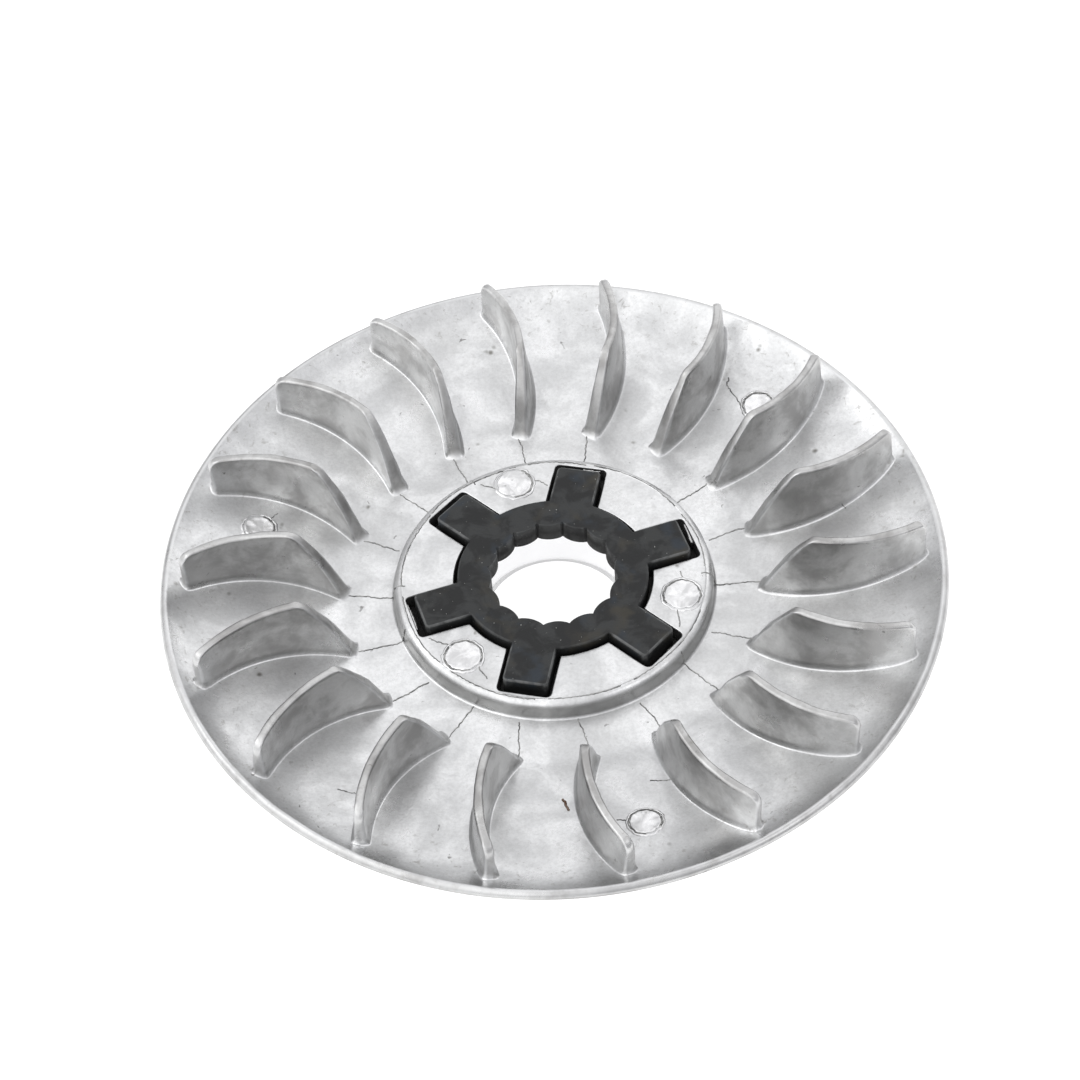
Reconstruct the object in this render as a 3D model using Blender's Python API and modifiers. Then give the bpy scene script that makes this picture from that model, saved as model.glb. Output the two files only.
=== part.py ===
"""Outer drive face of a belt pulley, with a cooling fan cast on its outer side.

Two pieces make the object: an aluminium casting, which is the hub, the dished disc and eighteen
curved blades in one, and the six-armed steel insert with the internal spline that sits in the
casting's boss. Nothing in it moves: the whole object turns with the shaft in its spline.

The origin is on the turning axis, in the plane of the hub's flat end face. +Z points to the fan side.
"""

import math

import bmesh
import bpy
from mathutils import Vector

# Splined insert
SPLINE_TEETH = 16
SPLINE_NOTCH_RADIUS = 0.00955
SPLINE_TOOTH_DEPTH = 0.00067
SPLINE_PHASE = math.radians(-101.38)
RING_WALL = 0.00425
ARM_COUNT = 6
ARM_PHASE = math.radians(15.4)
ARM_LENGTH = 0.0063
ARM_WIDTH = 0.0065
ARM_CORNER_ROUND = 0.0007
INSERT_THICKNESS = 0.0032
INSERT_PROUD = 0.0010

# Clearances round the insert, in its pocket
POCKET_SIDE_GAP = 0.0006
POCKET_END_GAP = 0.0012
POCKET_FLOOR_GAP = 0.0003

# Hub and boss
BORE_STEP = 0.00075
HUB_WALL = 0.0083
HUB_STEP = 0.0014
HUB_END_CHAMFER = 0.0006
BOSS_WALL = 0.0018
BOSS_TOP = 0.0096
BOSS_ROUND = 0.0012
BOSS_DRAFT = 0.0002

# Disc
OUTER_RADIUS = 0.0565
BELT_FACE_ANGLE = math.radians(14.0)
FLOOR_WIDTH = 0.0074
WALL_AT_FLOOR = 0.00238
WALL_AT_RIM = 0.00135
LIP_WIDTH = 0.0055
LIP_RISE = 0.0012
RIM_FRONT_ROUND = 0.0009
RIM_BEVEL = 0.0019
RIM_BEVEL_ANGLE = math.radians(42.0)

# Fan blades
BLADE_COUNT = 18
BLADE_PHASE = math.radians(77.26)
BLADE_BOSS_MARGIN = 0.00717
BLADE_SLANT = 0.00653
BLADE_RIM_MARGIN = 0.0033
BLADE_LEAN = math.radians(0.95)
BLADE_BOW = 0.00305
BLADE_INNER_BULGE = 0.0005
BLADE_PEAK_HEIGHT = 0.0188
BLADE_END_DROP = 0.0006
BLADE_CORNER_ROUND = 0.0016
BLADE_HOLLOW_OFFSET = 0.00078
BLADE_TOP_THICKNESS = 0.00115
BLADE_ROOT_THICKNESS = 0.0024
BLADE_ROOT_DEPTH = 0.0006

# Sizes that follow from those above
SPLINE_TOOTH_RADIUS = SPLINE_NOTCH_RADIUS - SPLINE_TOOTH_DEPTH
RING_RADIUS = SPLINE_NOTCH_RADIUS + RING_WALL
ARM_REACH = RING_RADIUS + ARM_LENGTH
INSERT_TOP = BOSS_TOP + INSERT_PROUD
BORE_RADIUS = SPLINE_NOTCH_RADIUS + BORE_STEP
HUB_RADIUS = BORE_RADIUS + HUB_WALL
BOSS_RADIUS = ARM_REACH + POCKET_END_GAP + BOSS_WALL
FLOOR_RADIUS = BOSS_RADIUS + FLOOR_WIDTH
BLADE_INNER_RADIUS = BOSS_RADIUS + BLADE_BOSS_MARGIN
BLADE_PEAK_RADIUS = BLADE_INNER_RADIUS + BLADE_SLANT
BLADE_OUTER_RADIUS = OUTER_RADIUS - BLADE_RIM_MARGIN
BLADE_END_HEIGHT = BLADE_PEAK_HEIGHT - BLADE_END_DROP

# Facets
TURN_STEPS = 108
ARC_STEPS = 6
BLADE_STEPS = 8
BLADE_OVERRUN = 1.15
TOOTH_STEPS = 5

CAST_ALUMINIUM = (0.56, 0.56, 0.55, 1.0)
DARK_STEEL = (0.035, 0.038, 0.04, 1.0)


def clear_scene():
    for old in list(bpy.data.objects):
        bpy.data.objects.remove(old, do_unlink=True)


def make_collection(name, hidden=False):
    made = bpy.data.collections.new(name)
    made.hide_render = hidden
    bpy.context.scene.collection.children.link(made)
    return made


def make_material(name, colour, roughness, metallic):
    made = bpy.data.materials.new(name)
    made.use_nodes = True
    shader = made.node_tree.nodes["Principled BSDF"]
    shader.inputs["Base Color"].default_value = colour
    shader.inputs["Roughness"].default_value = roughness
    shader.inputs["Metallic"].default_value = metallic
    made.diffuse_color = colour
    return made


def belt_face_height(radius):
    """Height of the belt face, the cone on the disc's back."""
    return HUB_STEP + (radius - HUB_RADIUS) * math.tan(BELT_FACE_ANGLE)


def fan_face_height(radius):
    """Height of the disc's fan side: a flat floor round the boss, a cone, then a lip that curves up."""
    on_cone = max(radius, FLOOR_RADIUS)
    along = (on_cone - FLOOR_RADIUS) / (BLADE_OUTER_RADIUS - FLOOR_RADIUS)
    height = belt_face_height(on_cone) + WALL_AT_FLOOR + along * (WALL_AT_RIM - WALL_AT_FLOOR)
    in_lip = max(radius - OUTER_RADIUS + LIP_WIDTH, 0.0) / (LIP_WIDTH - RIM_FRONT_ROUND)
    return height + LIP_RISE * in_lip**2


def quarter_round(centre, radius, start, end):
    """Points of an arc in the profile's plane, with its angles counted from +X towards +Z."""
    angles = [start + (end - start) * i / ARC_STEPS for i in range(ARC_STEPS + 1)]
    return [(centre[0] + radius * math.cos(a), centre[1] + radius * math.sin(a)) for a in angles]


def bulged(start, end, bulge):
    """Points from start to end on an arc that stands out to the left of the straight way by the bulge."""
    chord = Vector(end) - Vector(start)
    across = Vector((-chord.y, chord.x)).normalized()
    shares = [i / ARC_STEPS for i in range(ARC_STEPS + 1)]
    return [tuple(Vector(start) + chord * t + across * bulge * 4 * t * (1 - t)) for t in shares]


def turned(name, profile, collection):
    """A closed (radius, height) profile turned round the axis. The profile runs down its outer side."""
    mesh = bpy.data.meshes.new(name)
    edges = [(i, (i + 1) % len(profile)) for i in range(len(profile))]
    mesh.from_pydata([(r, 0.0, z) for r, z in profile], edges, [])
    made = bpy.data.objects.new(name, mesh)
    collection.objects.link(made)
    screw = made.modifiers.new("Turn", "SCREW")
    screw.steps = TURN_STEPS
    screw.render_steps = TURN_STEPS
    screw.use_merge_vertices = True
    screw.merge_threshold = 0.000001
    return made


def lofted(name, low_outlines, high_outlines, bottom, top, collection):
    """Closed solids between pairs of outlines with the same count of points, at two heights."""
    shape = bmesh.new()
    for low, high in zip(low_outlines, high_outlines):
        under = [shape.verts.new((x, y, bottom)) for x, y in low]
        over = [shape.verts.new((x, y, top)) for x, y in high]
        shape.faces.new(under)
        shape.faces.new(over)
        for i in range(len(low)):
            j = (i + 1) % len(low)
            shape.faces.new((under[i], under[j], over[j], over[i]))
    bmesh.ops.recalc_face_normals(shape, faces=shape.faces)
    mesh = bpy.data.meshes.new(name)
    shape.to_mesh(mesh)
    shape.free()
    made = bpy.data.objects.new(name, mesh)
    collection.objects.link(made)
    return made


def extruded(name, outlines, bottom, top, collection):
    """A flat plate between two heights from closed outlines, where an inner outline is a hole."""
    curve = bpy.data.curves.new(name, "CURVE")
    curve.dimensions = "2D"
    curve.fill_mode = "BOTH"
    curve.extrude = (top - bottom) / 2
    for outline in outlines:
        spline = curve.splines.new("POLY")
        spline.points.add(len(outline) - 1)
        for point, (x, y) in zip(spline.points, outline):
            point.co = (x, y, 0.0, 1.0)
        spline.use_cyclic_u = True
    flat = bpy.data.objects.new(name + "_outline", curve)
    flat.location.z = (top + bottom) / 2
    collection.objects.link(flat)
    bpy.context.view_layer.update()
    graph = bpy.context.evaluated_depsgraph_get()
    mesh = bpy.data.meshes.new_from_object(flat.evaluated_get(graph))
    cleaned = bmesh.new()
    cleaned.from_mesh(mesh)
    bmesh.ops.remove_doubles(cleaned, verts=cleaned.verts, dist=0.000001)
    bmesh.ops.recalc_face_normals(cleaned, faces=cleaned.faces)
    cleaned.to_mesh(mesh)
    cleaned.free()
    made = bpy.data.objects.new(name, mesh)
    made.matrix_world = flat.matrix_world
    collection.objects.link(made)
    bpy.data.objects.remove(flat, do_unlink=True)
    bpy.data.curves.remove(curve)
    mesh.name = name
    return made


def combine(target, operation, other):
    """A Boolean with another object, which stays hidden as the tool."""
    step = target.modifiers.new(other.name, "BOOLEAN")
    step.operation = operation
    step.object = other
    step.solver = "EXACT"
    other.hide_render = True
    other.display_type = "WIRE"


def casting_profile():
    """Half section of the hub, boss and disc, from the boss's top edge out, under and back."""
    foot = BOSS_RADIUS + BOSS_DRAFT
    profile = quarter_round(
        (BOSS_RADIUS - BOSS_ROUND, BOSS_TOP - BOSS_ROUND), BOSS_ROUND, math.pi / 2, 0.0
    )
    profile += [(foot, fan_face_height(foot)), (FLOOR_RADIUS, fan_face_height(FLOOR_RADIUS))]
    lip_end = OUTER_RADIUS - RIM_FRONT_ROUND
    lip_start = OUTER_RADIUS - LIP_WIDTH
    lip = [lip_start + (lip_end - lip_start) * i / ARC_STEPS for i in range(ARC_STEPS)]
    profile += [(radius, fan_face_height(radius)) for radius in lip]
    profile += quarter_round(
        (lip_end, fan_face_height(lip_end) - RIM_FRONT_ROUND), RIM_FRONT_ROUND, math.pi / 2, 0.0
    )
    bevel_start = OUTER_RADIUS - RIM_BEVEL
    bevel_height = RIM_BEVEL * math.tan(RIM_BEVEL_ANGLE)
    profile += [
        (OUTER_RADIUS, belt_face_height(bevel_start) + bevel_height),
        (bevel_start, belt_face_height(bevel_start)),
        (HUB_RADIUS, belt_face_height(HUB_RADIUS)),
        (HUB_RADIUS - HUB_END_CHAMFER, 0.0),
        (BORE_RADIUS + HUB_END_CHAMFER, 0.0),
        (BORE_RADIUS, HUB_END_CHAMFER),
        (BORE_RADIUS, BOSS_TOP),
    ]
    return profile


def blade_envelope_profile():
    """Half section that all blades share: the bulged slanting inner end, the top and the outer end."""
    inner, outer = BLADE_INNER_RADIUS, BLADE_OUTER_RADIUS
    corner = (outer - BLADE_CORNER_ROUND, BLADE_END_HEIGHT - BLADE_CORNER_ROUND)
    peak = (BLADE_PEAK_RADIUS, BLADE_PEAK_HEIGHT)
    profile = bulged((inner, fan_face_height(inner)), peak, BLADE_INNER_BULGE)
    profile += quarter_round(corner, BLADE_CORNER_ROUND, math.pi / 2, 0.0)
    profile += [
        (outer, fan_face_height(outer) - BLADE_ROOT_DEPTH),
        (inner, fan_face_height(inner) - BLADE_ROOT_DEPTH),
    ]
    return profile


def blade_outline(thickness):
    """Plan of one blade: an arc band from its inner end past its outer end, hollow anticlockwise."""
    inner = Vector((BLADE_INNER_RADIUS, 0.0))
    outer = BLADE_OUTER_RADIUS * Vector((math.cos(BLADE_LEAN), math.sin(BLADE_LEAN)))
    along = (outer - inner).normalized()
    side = Vector((along.y, -along.x))
    half_chord = (outer - inner).length / 2
    radius = (half_chord**2 + BLADE_BOW**2) / (2 * BLADE_BOW)
    centre = inner + along * half_chord - side * (radius - BLADE_BOW)
    reach = math.asin(half_chord / radius) * BLADE_OVERRUN
    turns = [-reach + 2 * reach * i / BLADE_STEPS for i in range(BLADE_STEPS + 1)]

    def on_arc(turn, arc_radius):
        return tuple(centre + arc_radius * (side * math.cos(turn) + along * math.sin(turn)))

    hollow = radius - BLADE_HOLLOW_OFFSET
    outside = [on_arc(turn, hollow + thickness) for turn in turns]
    inside = [on_arc(turn, hollow) for turn in reversed(turns)]
    return outside + inside


def turned_outline(outline, angle):
    c, s = math.cos(angle), math.sin(angle)
    return [(c * x - s * y, s * x + c * y) for x, y in outline]


def star_outline(ring_radius, reach, width, corner):
    """Outline of a ring with straight arms. The arms' ends are square, with rounded corners."""
    half = width / 2
    root = math.asin(half / ring_radius)
    gap = 2 * math.pi / ARM_COUNT - 2 * root
    points = []
    for arm in range(ARM_COUNT):
        angle = ARM_PHASE + arm * 2 * math.pi / ARM_COUNT
        end = []
        for sign in (-1, 1):
            centre = (reach - corner, sign * (half - corner))
            start = -math.pi / 2 if sign < 0 else 0.0
            end += quarter_round(centre, corner, start, start + math.pi / 2)
        points += turned_outline(end, angle)
        ring = [angle + root + gap * i / ARC_STEPS for i in range(ARC_STEPS + 1)]
        points += [(ring_radius * math.cos(a), ring_radius * math.sin(a)) for a in ring]
    return points


def spline_outline():
    """Outline of the splined bore: convex teeth between narrow notches."""
    pitch = 2 * math.pi / SPLINE_TEETH
    points = []
    for tooth in range(SPLINE_TEETH):
        for i in range(TOOTH_STEPS):
            share = i / TOOTH_STEPS
            rise = math.sin(math.pi * share) ** 0.7
            radius = SPLINE_NOTCH_RADIUS + (SPLINE_TOOTH_RADIUS - SPLINE_NOTCH_RADIUS) * rise
            angle = SPLINE_PHASE + (tooth + share) * pitch
            points.append((radius * math.cos(angle), radius * math.sin(angle)))
    return points


def make_casting(parts, tools):
    casting = turned("fan_casting", casting_profile(), parts)
    envelope = turned("blade_envelope", blade_envelope_profile(), tools)
    pitch = 2 * math.pi / BLADE_COUNT
    angles = [BLADE_PHASE + pitch * i for i in range(BLADE_COUNT)]
    blades = lofted(
        "blades",
        [turned_outline(blade_outline(BLADE_ROOT_THICKNESS), angle) for angle in angles],
        [turned_outline(blade_outline(BLADE_TOP_THICKNESS), angle) for angle in angles],
        fan_face_height(BLADE_INNER_RADIUS) - 2 * BLADE_ROOT_DEPTH,
        BLADE_PEAK_HEIGHT + BLADE_ROOT_DEPTH,
        tools,
    )
    combine(blades, "INTERSECT", envelope)
    combine(casting, "UNION", blades)
    pocket_floor = INSERT_TOP - INSERT_THICKNESS - POCKET_FLOOR_GAP
    pocket = extruded(
        "insert_pocket",
        [
            star_outline(
                RING_RADIUS + POCKET_SIDE_GAP,
                ARM_REACH + POCKET_END_GAP,
                ARM_WIDTH + 2 * POCKET_SIDE_GAP,
                ARM_CORNER_ROUND,
            )
        ],
        pocket_floor,
        BOSS_TOP + INSERT_THICKNESS,
        tools,
    )
    combine(casting, "DIFFERENCE", pocket)
    return casting


def make_insert(parts):
    outlines = [star_outline(RING_RADIUS, ARM_REACH, ARM_WIDTH, ARM_CORNER_ROUND), spline_outline()]
    return extruded("splined_insert", outlines, INSERT_TOP - INSERT_THICKNESS, INSERT_TOP, parts)


def finish(made, material):
    made.data.materials.append(material)
    made.data.shade_smooth()
    if made.data.edges and made.data.polygons:
        made.data.set_sharp_from_angle(angle=math.radians(30))


def main():
    clear_scene()
    parts = make_collection("drive_face_with_fan")
    tools = make_collection("tools", hidden=True)
    casting = make_casting(parts, tools)
    insert = make_insert(parts)
    finish(casting, make_material("cast_aluminium", CAST_ALUMINIUM, 0.42, 1.0))
    finish(insert, make_material("dark_steel", DARK_STEEL, 0.5, 0.6))


main()
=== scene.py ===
# %% [markdown]
# # A drive face with a cast fan
# The object is the outer half of a belt pulley from a small scooter. It is one aluminium die casting, a
# dished disc with eighteen curved fan blades, and one dark steel insert whose spline grips the engine's
# shaft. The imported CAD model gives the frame: every piece below is built in metres, in the same place as
# its CAD node.

import math
import random

import bmesh
import bpy
import numpy as np
from mathutils import Matrix, Quaternion, Vector, noise
from mathutils.geometry import delaunay_2d_cdt


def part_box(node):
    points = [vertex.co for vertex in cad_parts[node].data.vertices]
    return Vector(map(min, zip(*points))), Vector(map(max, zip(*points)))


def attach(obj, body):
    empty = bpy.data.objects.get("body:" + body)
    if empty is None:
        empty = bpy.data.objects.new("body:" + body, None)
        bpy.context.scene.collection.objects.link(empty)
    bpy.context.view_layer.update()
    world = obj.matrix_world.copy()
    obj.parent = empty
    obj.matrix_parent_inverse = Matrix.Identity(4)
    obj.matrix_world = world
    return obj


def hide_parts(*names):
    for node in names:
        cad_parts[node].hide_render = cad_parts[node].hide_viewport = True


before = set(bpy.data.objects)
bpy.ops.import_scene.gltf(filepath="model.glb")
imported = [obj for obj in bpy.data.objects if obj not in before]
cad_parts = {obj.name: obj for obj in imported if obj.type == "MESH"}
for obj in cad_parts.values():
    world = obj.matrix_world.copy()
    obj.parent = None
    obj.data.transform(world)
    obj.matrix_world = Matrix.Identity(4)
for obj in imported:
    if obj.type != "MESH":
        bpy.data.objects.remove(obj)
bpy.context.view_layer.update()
casting_low, casting_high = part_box("fan_casting")
insert_low, insert_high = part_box("splined_insert")
print("CAD nodes:", sorted(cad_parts))
print("casting height, mm:", round(1000 * (casting_high.z - casting_low.z), 2))

# %% [markdown]
# ## The sizes
# Turning gives most of this shape, so its sizes are radii and heights above the hub's end, which stands on
# the floor. Those that the frame can give are read from it, and the rest repeat the CAD's driving sizes.

# %% Disc, hub and boss
OUTER_RADIUS = round((casting_high.x - casting_low.x) / 2, 5)
BELT_FACE_ANGLE = math.radians(14.0)
FLOOR_RADIUS = 0.0305
WALL_AT_FLOOR = 0.00238
WALL_AT_RIM = 0.00135
LIP_WIDTH = 0.0055
LIP_RISE = 0.0012
RIM_FRONT_ROUND = 0.0009
RIM_BEVEL = 0.0019
RIM_BEVEL_ANGLE = math.radians(42.0)
HUB_RADIUS = 0.0186
HUB_STEP = 0.0014
HUB_END_CHAMFER = 0.0006
BOSS_RADIUS = 0.0231
BOSS_TOP = 0.0096
BOSS_ROUND = 0.0012
BOSS_DRAFT = 0.0002
BOSS_FILLET_REACH = 0.0004
BOSS_FILLET_RISE = 0.0005
BORE_RADIUS = 0.0103

# %% Blades
BLADE_COUNT = 18
BLADE_PHASE = math.radians(77.26)
BLADE_INNER_RADIUS = 0.03027
BLADE_PEAK_RADIUS = 0.0368
BLADE_RIM_MARGIN = 0.0033
BLADE_LEAN = math.radians(0.95)
BLADE_BOW = 0.00305
BLADE_INNER_BULGE = 0.0005
BLADE_PEAK_HEIGHT = casting_high.z
BLADE_END_HEIGHT = BLADE_PEAK_HEIGHT - 0.0006
BLADE_CORNER_ROUND = 0.0016
BLADE_HOLLOW_OFFSET = 0.00078
BLADE_TOP_THICKNESS = 0.00115
BLADE_ROOT_THICKNESS = 0.0024
BLADE_ROOT_DEPTH = 0.0006
BLADE_EDGE_ROUND = 0.00042
BLADE_FILLET_REACH = 0.0005
BLADE_FILLET_RISE = 0.0013
BLADE_PEAK_ROUND = 0.0011

# %% Insert
INSERT_TOP = insert_high.z
INSERT_THICKNESS = insert_high.z - insert_low.z
RING_RADIUS = 0.0138
ARM_COUNT = 6
ARM_PHASE = math.radians(15.4)
ARM_REACH = 0.0201
ARM_WIDTH = 0.0065
ARM_CORNER_ROUND = 0.0007
SPLINE_TEETH = 16
SPLINE_NOTCH_RADIUS = 0.00955
SPLINE_TOOTH_RADIUS = 0.00888
SPLINE_PHASE = math.radians(-101.38)
POCKET_SIDE_GAP = 0.0006
POCKET_END_GAP = 0.0012
POCKET_FLOOR_GAP = 0.0003
blade_outer_radius = OUTER_RADIUS - BLADE_RIM_MARGIN
pocket_floor = INSERT_TOP - INSERT_THICKNESS - POCKET_FLOOR_GAP
print("outer radius", OUTER_RADIUS, "insert thickness", round(INSERT_THICKNESS, 5))

# %% [markdown]
# ## The camera
# The view is from the front, looking down at fifty degrees, with a long lens and a slight roll. Setting it
# before the shapes means that every look at the model is from the angle that matters.

# %% Camera
CAMERA_PLACE = Vector((0.0, -0.25551, 0.32299))
CAMERA_TARGET = Vector((-0.001517, 0.004230, 0.013))
CAMERA_ROLL = math.radians(4.394)
CAMERA_LENS = 93.37

camera_data = bpy.data.cameras.new("studio_camera")
camera_data.lens = CAMERA_LENS
camera_data.sensor_width = 36.0
camera_data.clip_start = 0.01
camera_data.dof.use_dof = False
camera = bpy.data.objects.new("studio_camera", camera_data)
level_turn = (CAMERA_TARGET - CAMERA_PLACE).to_track_quat("-Z", "Y")
camera.rotation_mode = "QUATERNION"
camera.rotation_quaternion = level_turn @ Quaternion((0.0, 0.0, 1.0), -CAMERA_ROLL)
camera.location = CAMERA_PLACE
bpy.context.scene.collection.objects.link(camera)
bpy.context.scene.camera = camera
print("camera is", round((CAMERA_TARGET - CAMERA_PLACE).length, 3), "m from the disc")

# %% [markdown]
# ## Heights of the two faces
# The disc is thin. Its belt face is a plain cone, and its fan face is flat round the boss, then conical,
# then curls up into a small lip at the rim. Two height functions say all of that, and every later piece
# uses them to stand exactly on the surface.

# %% Height functions
def belt_face_height(radius):
    return HUB_STEP + (radius - HUB_RADIUS) * math.tan(BELT_FACE_ANGLE)


def fan_face_height(radius):
    radius = np.asarray(radius, float)
    on_cone = np.maximum(radius, FLOOR_RADIUS)
    along = (on_cone - FLOOR_RADIUS) / (blade_outer_radius - FLOOR_RADIUS)
    height = belt_face_height(on_cone) + WALL_AT_FLOOR + along * (WALL_AT_RIM - WALL_AT_FLOOR)
    in_lip = np.maximum(radius - OUTER_RADIUS + LIP_WIDTH, 0.0) / (LIP_WIDTH - RIM_FRONT_ROUND)
    return height + LIP_RISE * in_lip**2


def blade_top_height(radius):
    slope = (BLADE_END_HEIGHT - BLADE_PEAK_HEIGHT) / (blade_outer_radius - BLADE_PEAK_RADIUS)
    return BLADE_PEAK_HEIGHT + (np.asarray(radius, float) - BLADE_PEAK_RADIUS) * slope


print("fan face at the boss and rim, mm:", 1000 * fan_face_height([BOSS_RADIUS, OUTER_RADIUS]).round(5))

# %% [markdown]
# ## One blade
# A blade is an arc in plan, thick at its root and thin at its top, as the die needs to pull off it. Its
# inner end slants back, its outer end stands upright, its edges are rounded and a fillet joins it to the
# disc. It could be a box with Bevel modifiers, but a bevel can't follow a foot that stands on a cone. Here
# the skin is laid in rows: each row is a closed loop round the blade at one height, first spreading out as
# the fillet, then drafting in, then rolling over the top edge.

# %% The blade's arc in plan
inner_end = np.array([BLADE_INNER_RADIUS, 0.0])
outer_end = blade_outer_radius * np.array([math.cos(BLADE_LEAN), math.sin(BLADE_LEAN)])
chord = outer_end - inner_end
half_chord = np.linalg.norm(chord) / 2
along_blade = chord / np.linalg.norm(chord)
across_blade = np.array([along_blade[1], -along_blade[0]])
arc_radius = (half_chord**2 + BLADE_BOW**2) / (2 * BLADE_BOW)
arc_centre = inner_end + along_blade * half_chord - across_blade * (arc_radius - BLADE_BOW)
hollow_radius = arc_radius - BLADE_HOLLOW_OFFSET


def arc_axes(turn):
    """The outward and forward directions of the arc at each turn."""
    turn = np.asarray(turn, float)[..., None]
    outward = across_blade * np.cos(turn) + along_blade * np.sin(turn)
    forward = along_blade * np.cos(turn) - across_blade * np.sin(turn)
    return outward, forward


probe_turns = np.linspace(-1.3, 1.3, 1201) * math.asin(half_chord / arc_radius)
probe_radii = np.linalg.norm(arc_centre + arc_radius * arc_axes(probe_turns)[0], axis=1)
print("arc radius of a blade, mm:", round(1000 * arc_radius, 2))


# %% Rows of a blade's skin
SIDE_POINTS = 34
NOSE_POINTS = 7
NOSE_DEPTHS = (0.62, 0.8)
NOSE_SQUARENESS = (0.42, 0.6)
FILLET_ROWS = 8
WALL_ROWS = 8
EDGE_ROWS = 5
SLANT_MIDDLE = 0.003
SLANTED_ROUND_SHARE = 0.8
FILLET_CROWDING = 1.25
WALL_CROWDING = 1.5


def blade_thickness(height):
    low = float(fan_face_height(BLADE_INNER_RADIUS)) - 2 * BLADE_ROOT_DEPTH
    high = BLADE_PEAK_HEIGHT + BLADE_ROOT_DEPTH
    share = (height - low) / (high - low)
    return BLADE_ROOT_THICKNESS + share * (BLADE_TOP_THICKNESS - BLADE_ROOT_THICKNESS)


def blade_rows():
    """Share of the wall's height, lift above the foot, drop below the top, and growth of each loop."""
    rows = []
    for i in range(FILLET_ROWS):
        angle = 0.5 * math.pi * (i / FILLET_ROWS) ** FILLET_CROWDING
        lift = BLADE_FILLET_RISE * (1 - math.cos(angle))
        rows.append((None, lift, None, BLADE_FILLET_REACH * (1 - math.sin(angle))))
    for i in range(WALL_ROWS + 1):
        rows.append((1 - (1 - i / WALL_ROWS) ** WALL_CROWDING, None, None, 0.0))
    for i in range(1, EDGE_ROWS + 1):
        angle = 0.5 * math.pi * i / EDGE_ROWS
        drop = BLADE_EDGE_ROUND * (1 - math.sin(angle))
        rows.append((None, None, drop, BLADE_EDGE_ROUND * (math.cos(angle) - 1)))
    return rows


def row_height(row, radius):
    share, lift, drop, _ = row
    foot = fan_face_height(radius)
    top = blade_top_height(radius)
    if lift is not None:
        return foot + lift
    if drop is not None:
        return top - drop
    low = foot + BLADE_FILLET_RISE
    return low + share * (top - BLADE_EDGE_ROUND - low)


def rounded_corner(drop, size):
    """How far a rounded top corner draws back from the end, at this drop below the top."""
    inside = np.clip((size - drop) / size, 0.0, 1.0)
    return size * (1 - np.sqrt(1 - inside**2))


def blade_loop(row):
    growth = row[3]
    slanting_end = BLADE_INNER_RADIUS + SLANT_MIDDLE
    inner_height = row_height(row, slanting_end)
    foot = fan_face_height(slanting_end)
    inner_top = blade_top_height(slanting_end)
    rise = (inner_height - foot) / (inner_top - foot)
    inner_radius = BLADE_INNER_RADIUS + (BLADE_PEAK_RADIUS - BLADE_INNER_RADIUS) * rise
    inner_radius -= 4 * rise * (1 - rise) * BLADE_INNER_BULGE
    inner_radius += SLANTED_ROUND_SHARE * rounded_corner(inner_top - inner_height, BLADE_PEAK_ROUND)
    outer_height = row_height(row, blade_outer_radius)
    outer_radius = blade_outer_radius - rounded_corner(
        blade_top_height(blade_outer_radius) - outer_height, BLADE_CORNER_ROUND
    )
    ends = np.interp([inner_radius, outer_radius], probe_radii, probe_turns)
    half_ends = 0.5 * blade_thickness(np.array([inner_height, outer_height]))
    ends += np.array([1, -1]) * NOSE_DEPTHS * half_ends / arc_radius
    turns = np.linspace(ends[0], ends[1], SIDE_POINTS)
    half = 0.5 * np.interp(turns, ends, 2 * half_ends)[:, None]
    outward, forward = arc_axes(turns)
    middle = arc_centre + (hollow_radius + half) * outward
    hollow_side = middle - (half + growth) * outward
    bulging_side = (middle + (half + growth) * outward)[::-1]
    noses = []
    for end, way in ((-1, 1), (0, -1)):
        swing = np.linspace(0, math.pi, NOSE_POINTS + 2)[1:-1, None]
        width = half[end] + growth
        depth = NOSE_DEPTHS[end] * half[end] + growth
        across = -way * outward[end] * np.cos(swing) * width
        ahead = way * forward[end] * np.sin(swing) ** NOSE_SQUARENESS[end] * depth
        noses.append(middle[end] + across + ahead)
    plan = np.concatenate([hollow_side, noses[0], bulging_side, noses[1]])
    return np.column_stack([plan, row_height(row, np.linalg.norm(plan, axis=1))])


blade_skin = [blade_loop(row) for row in blade_rows()]
LOOP_POINTS = len(blade_skin[0])
print("a blade's skin:", len(blade_skin), "rows of", LOOP_POINTS, "points")


# %% Mesh helpers
class Shell:
    """Points and faces gathered for one mesh, with a material number for each face."""

    def __init__(self):
        self.points, self.faces, self.finishes = [], [], []

    def add(self, points, faces, finish=0):
        start = sum(len(part) for part in self.points)
        self.points.append(np.asarray(points, float).reshape(-1, 3))
        self.faces += [tuple(start + i for i in face) for face in faces]
        self.finishes += [finish] * len(faces)

    def add_rows(self, rows, finish=0):
        """Quads between neighbouring closed loops."""
        count = len(rows[0])
        faces = []
        for low in range(len(rows) - 1):
            for i in range(count):
                j = (i + 1) % count
                here, above = low * count, (low + 1) * count
                faces.append((here + i, here + j, above + j, above + i))
        self.add(np.concatenate(rows), faces, finish)

    def object(self, name, materials):
        mesh = bpy.data.meshes.new(name)
        mesh.from_pydata(np.concatenate(self.points).tolist(), [], self.faces)
        for material in materials:
            mesh.materials.append(material)
        mesh.polygons.foreach_set("material_index", self.finishes)
        mesh.polygons.foreach_set("use_smooth", [True] * len(mesh.polygons))
        made = bpy.data.objects.new(name, mesh)
        bpy.context.scene.collection.objects.link(made)
        return made


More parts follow.
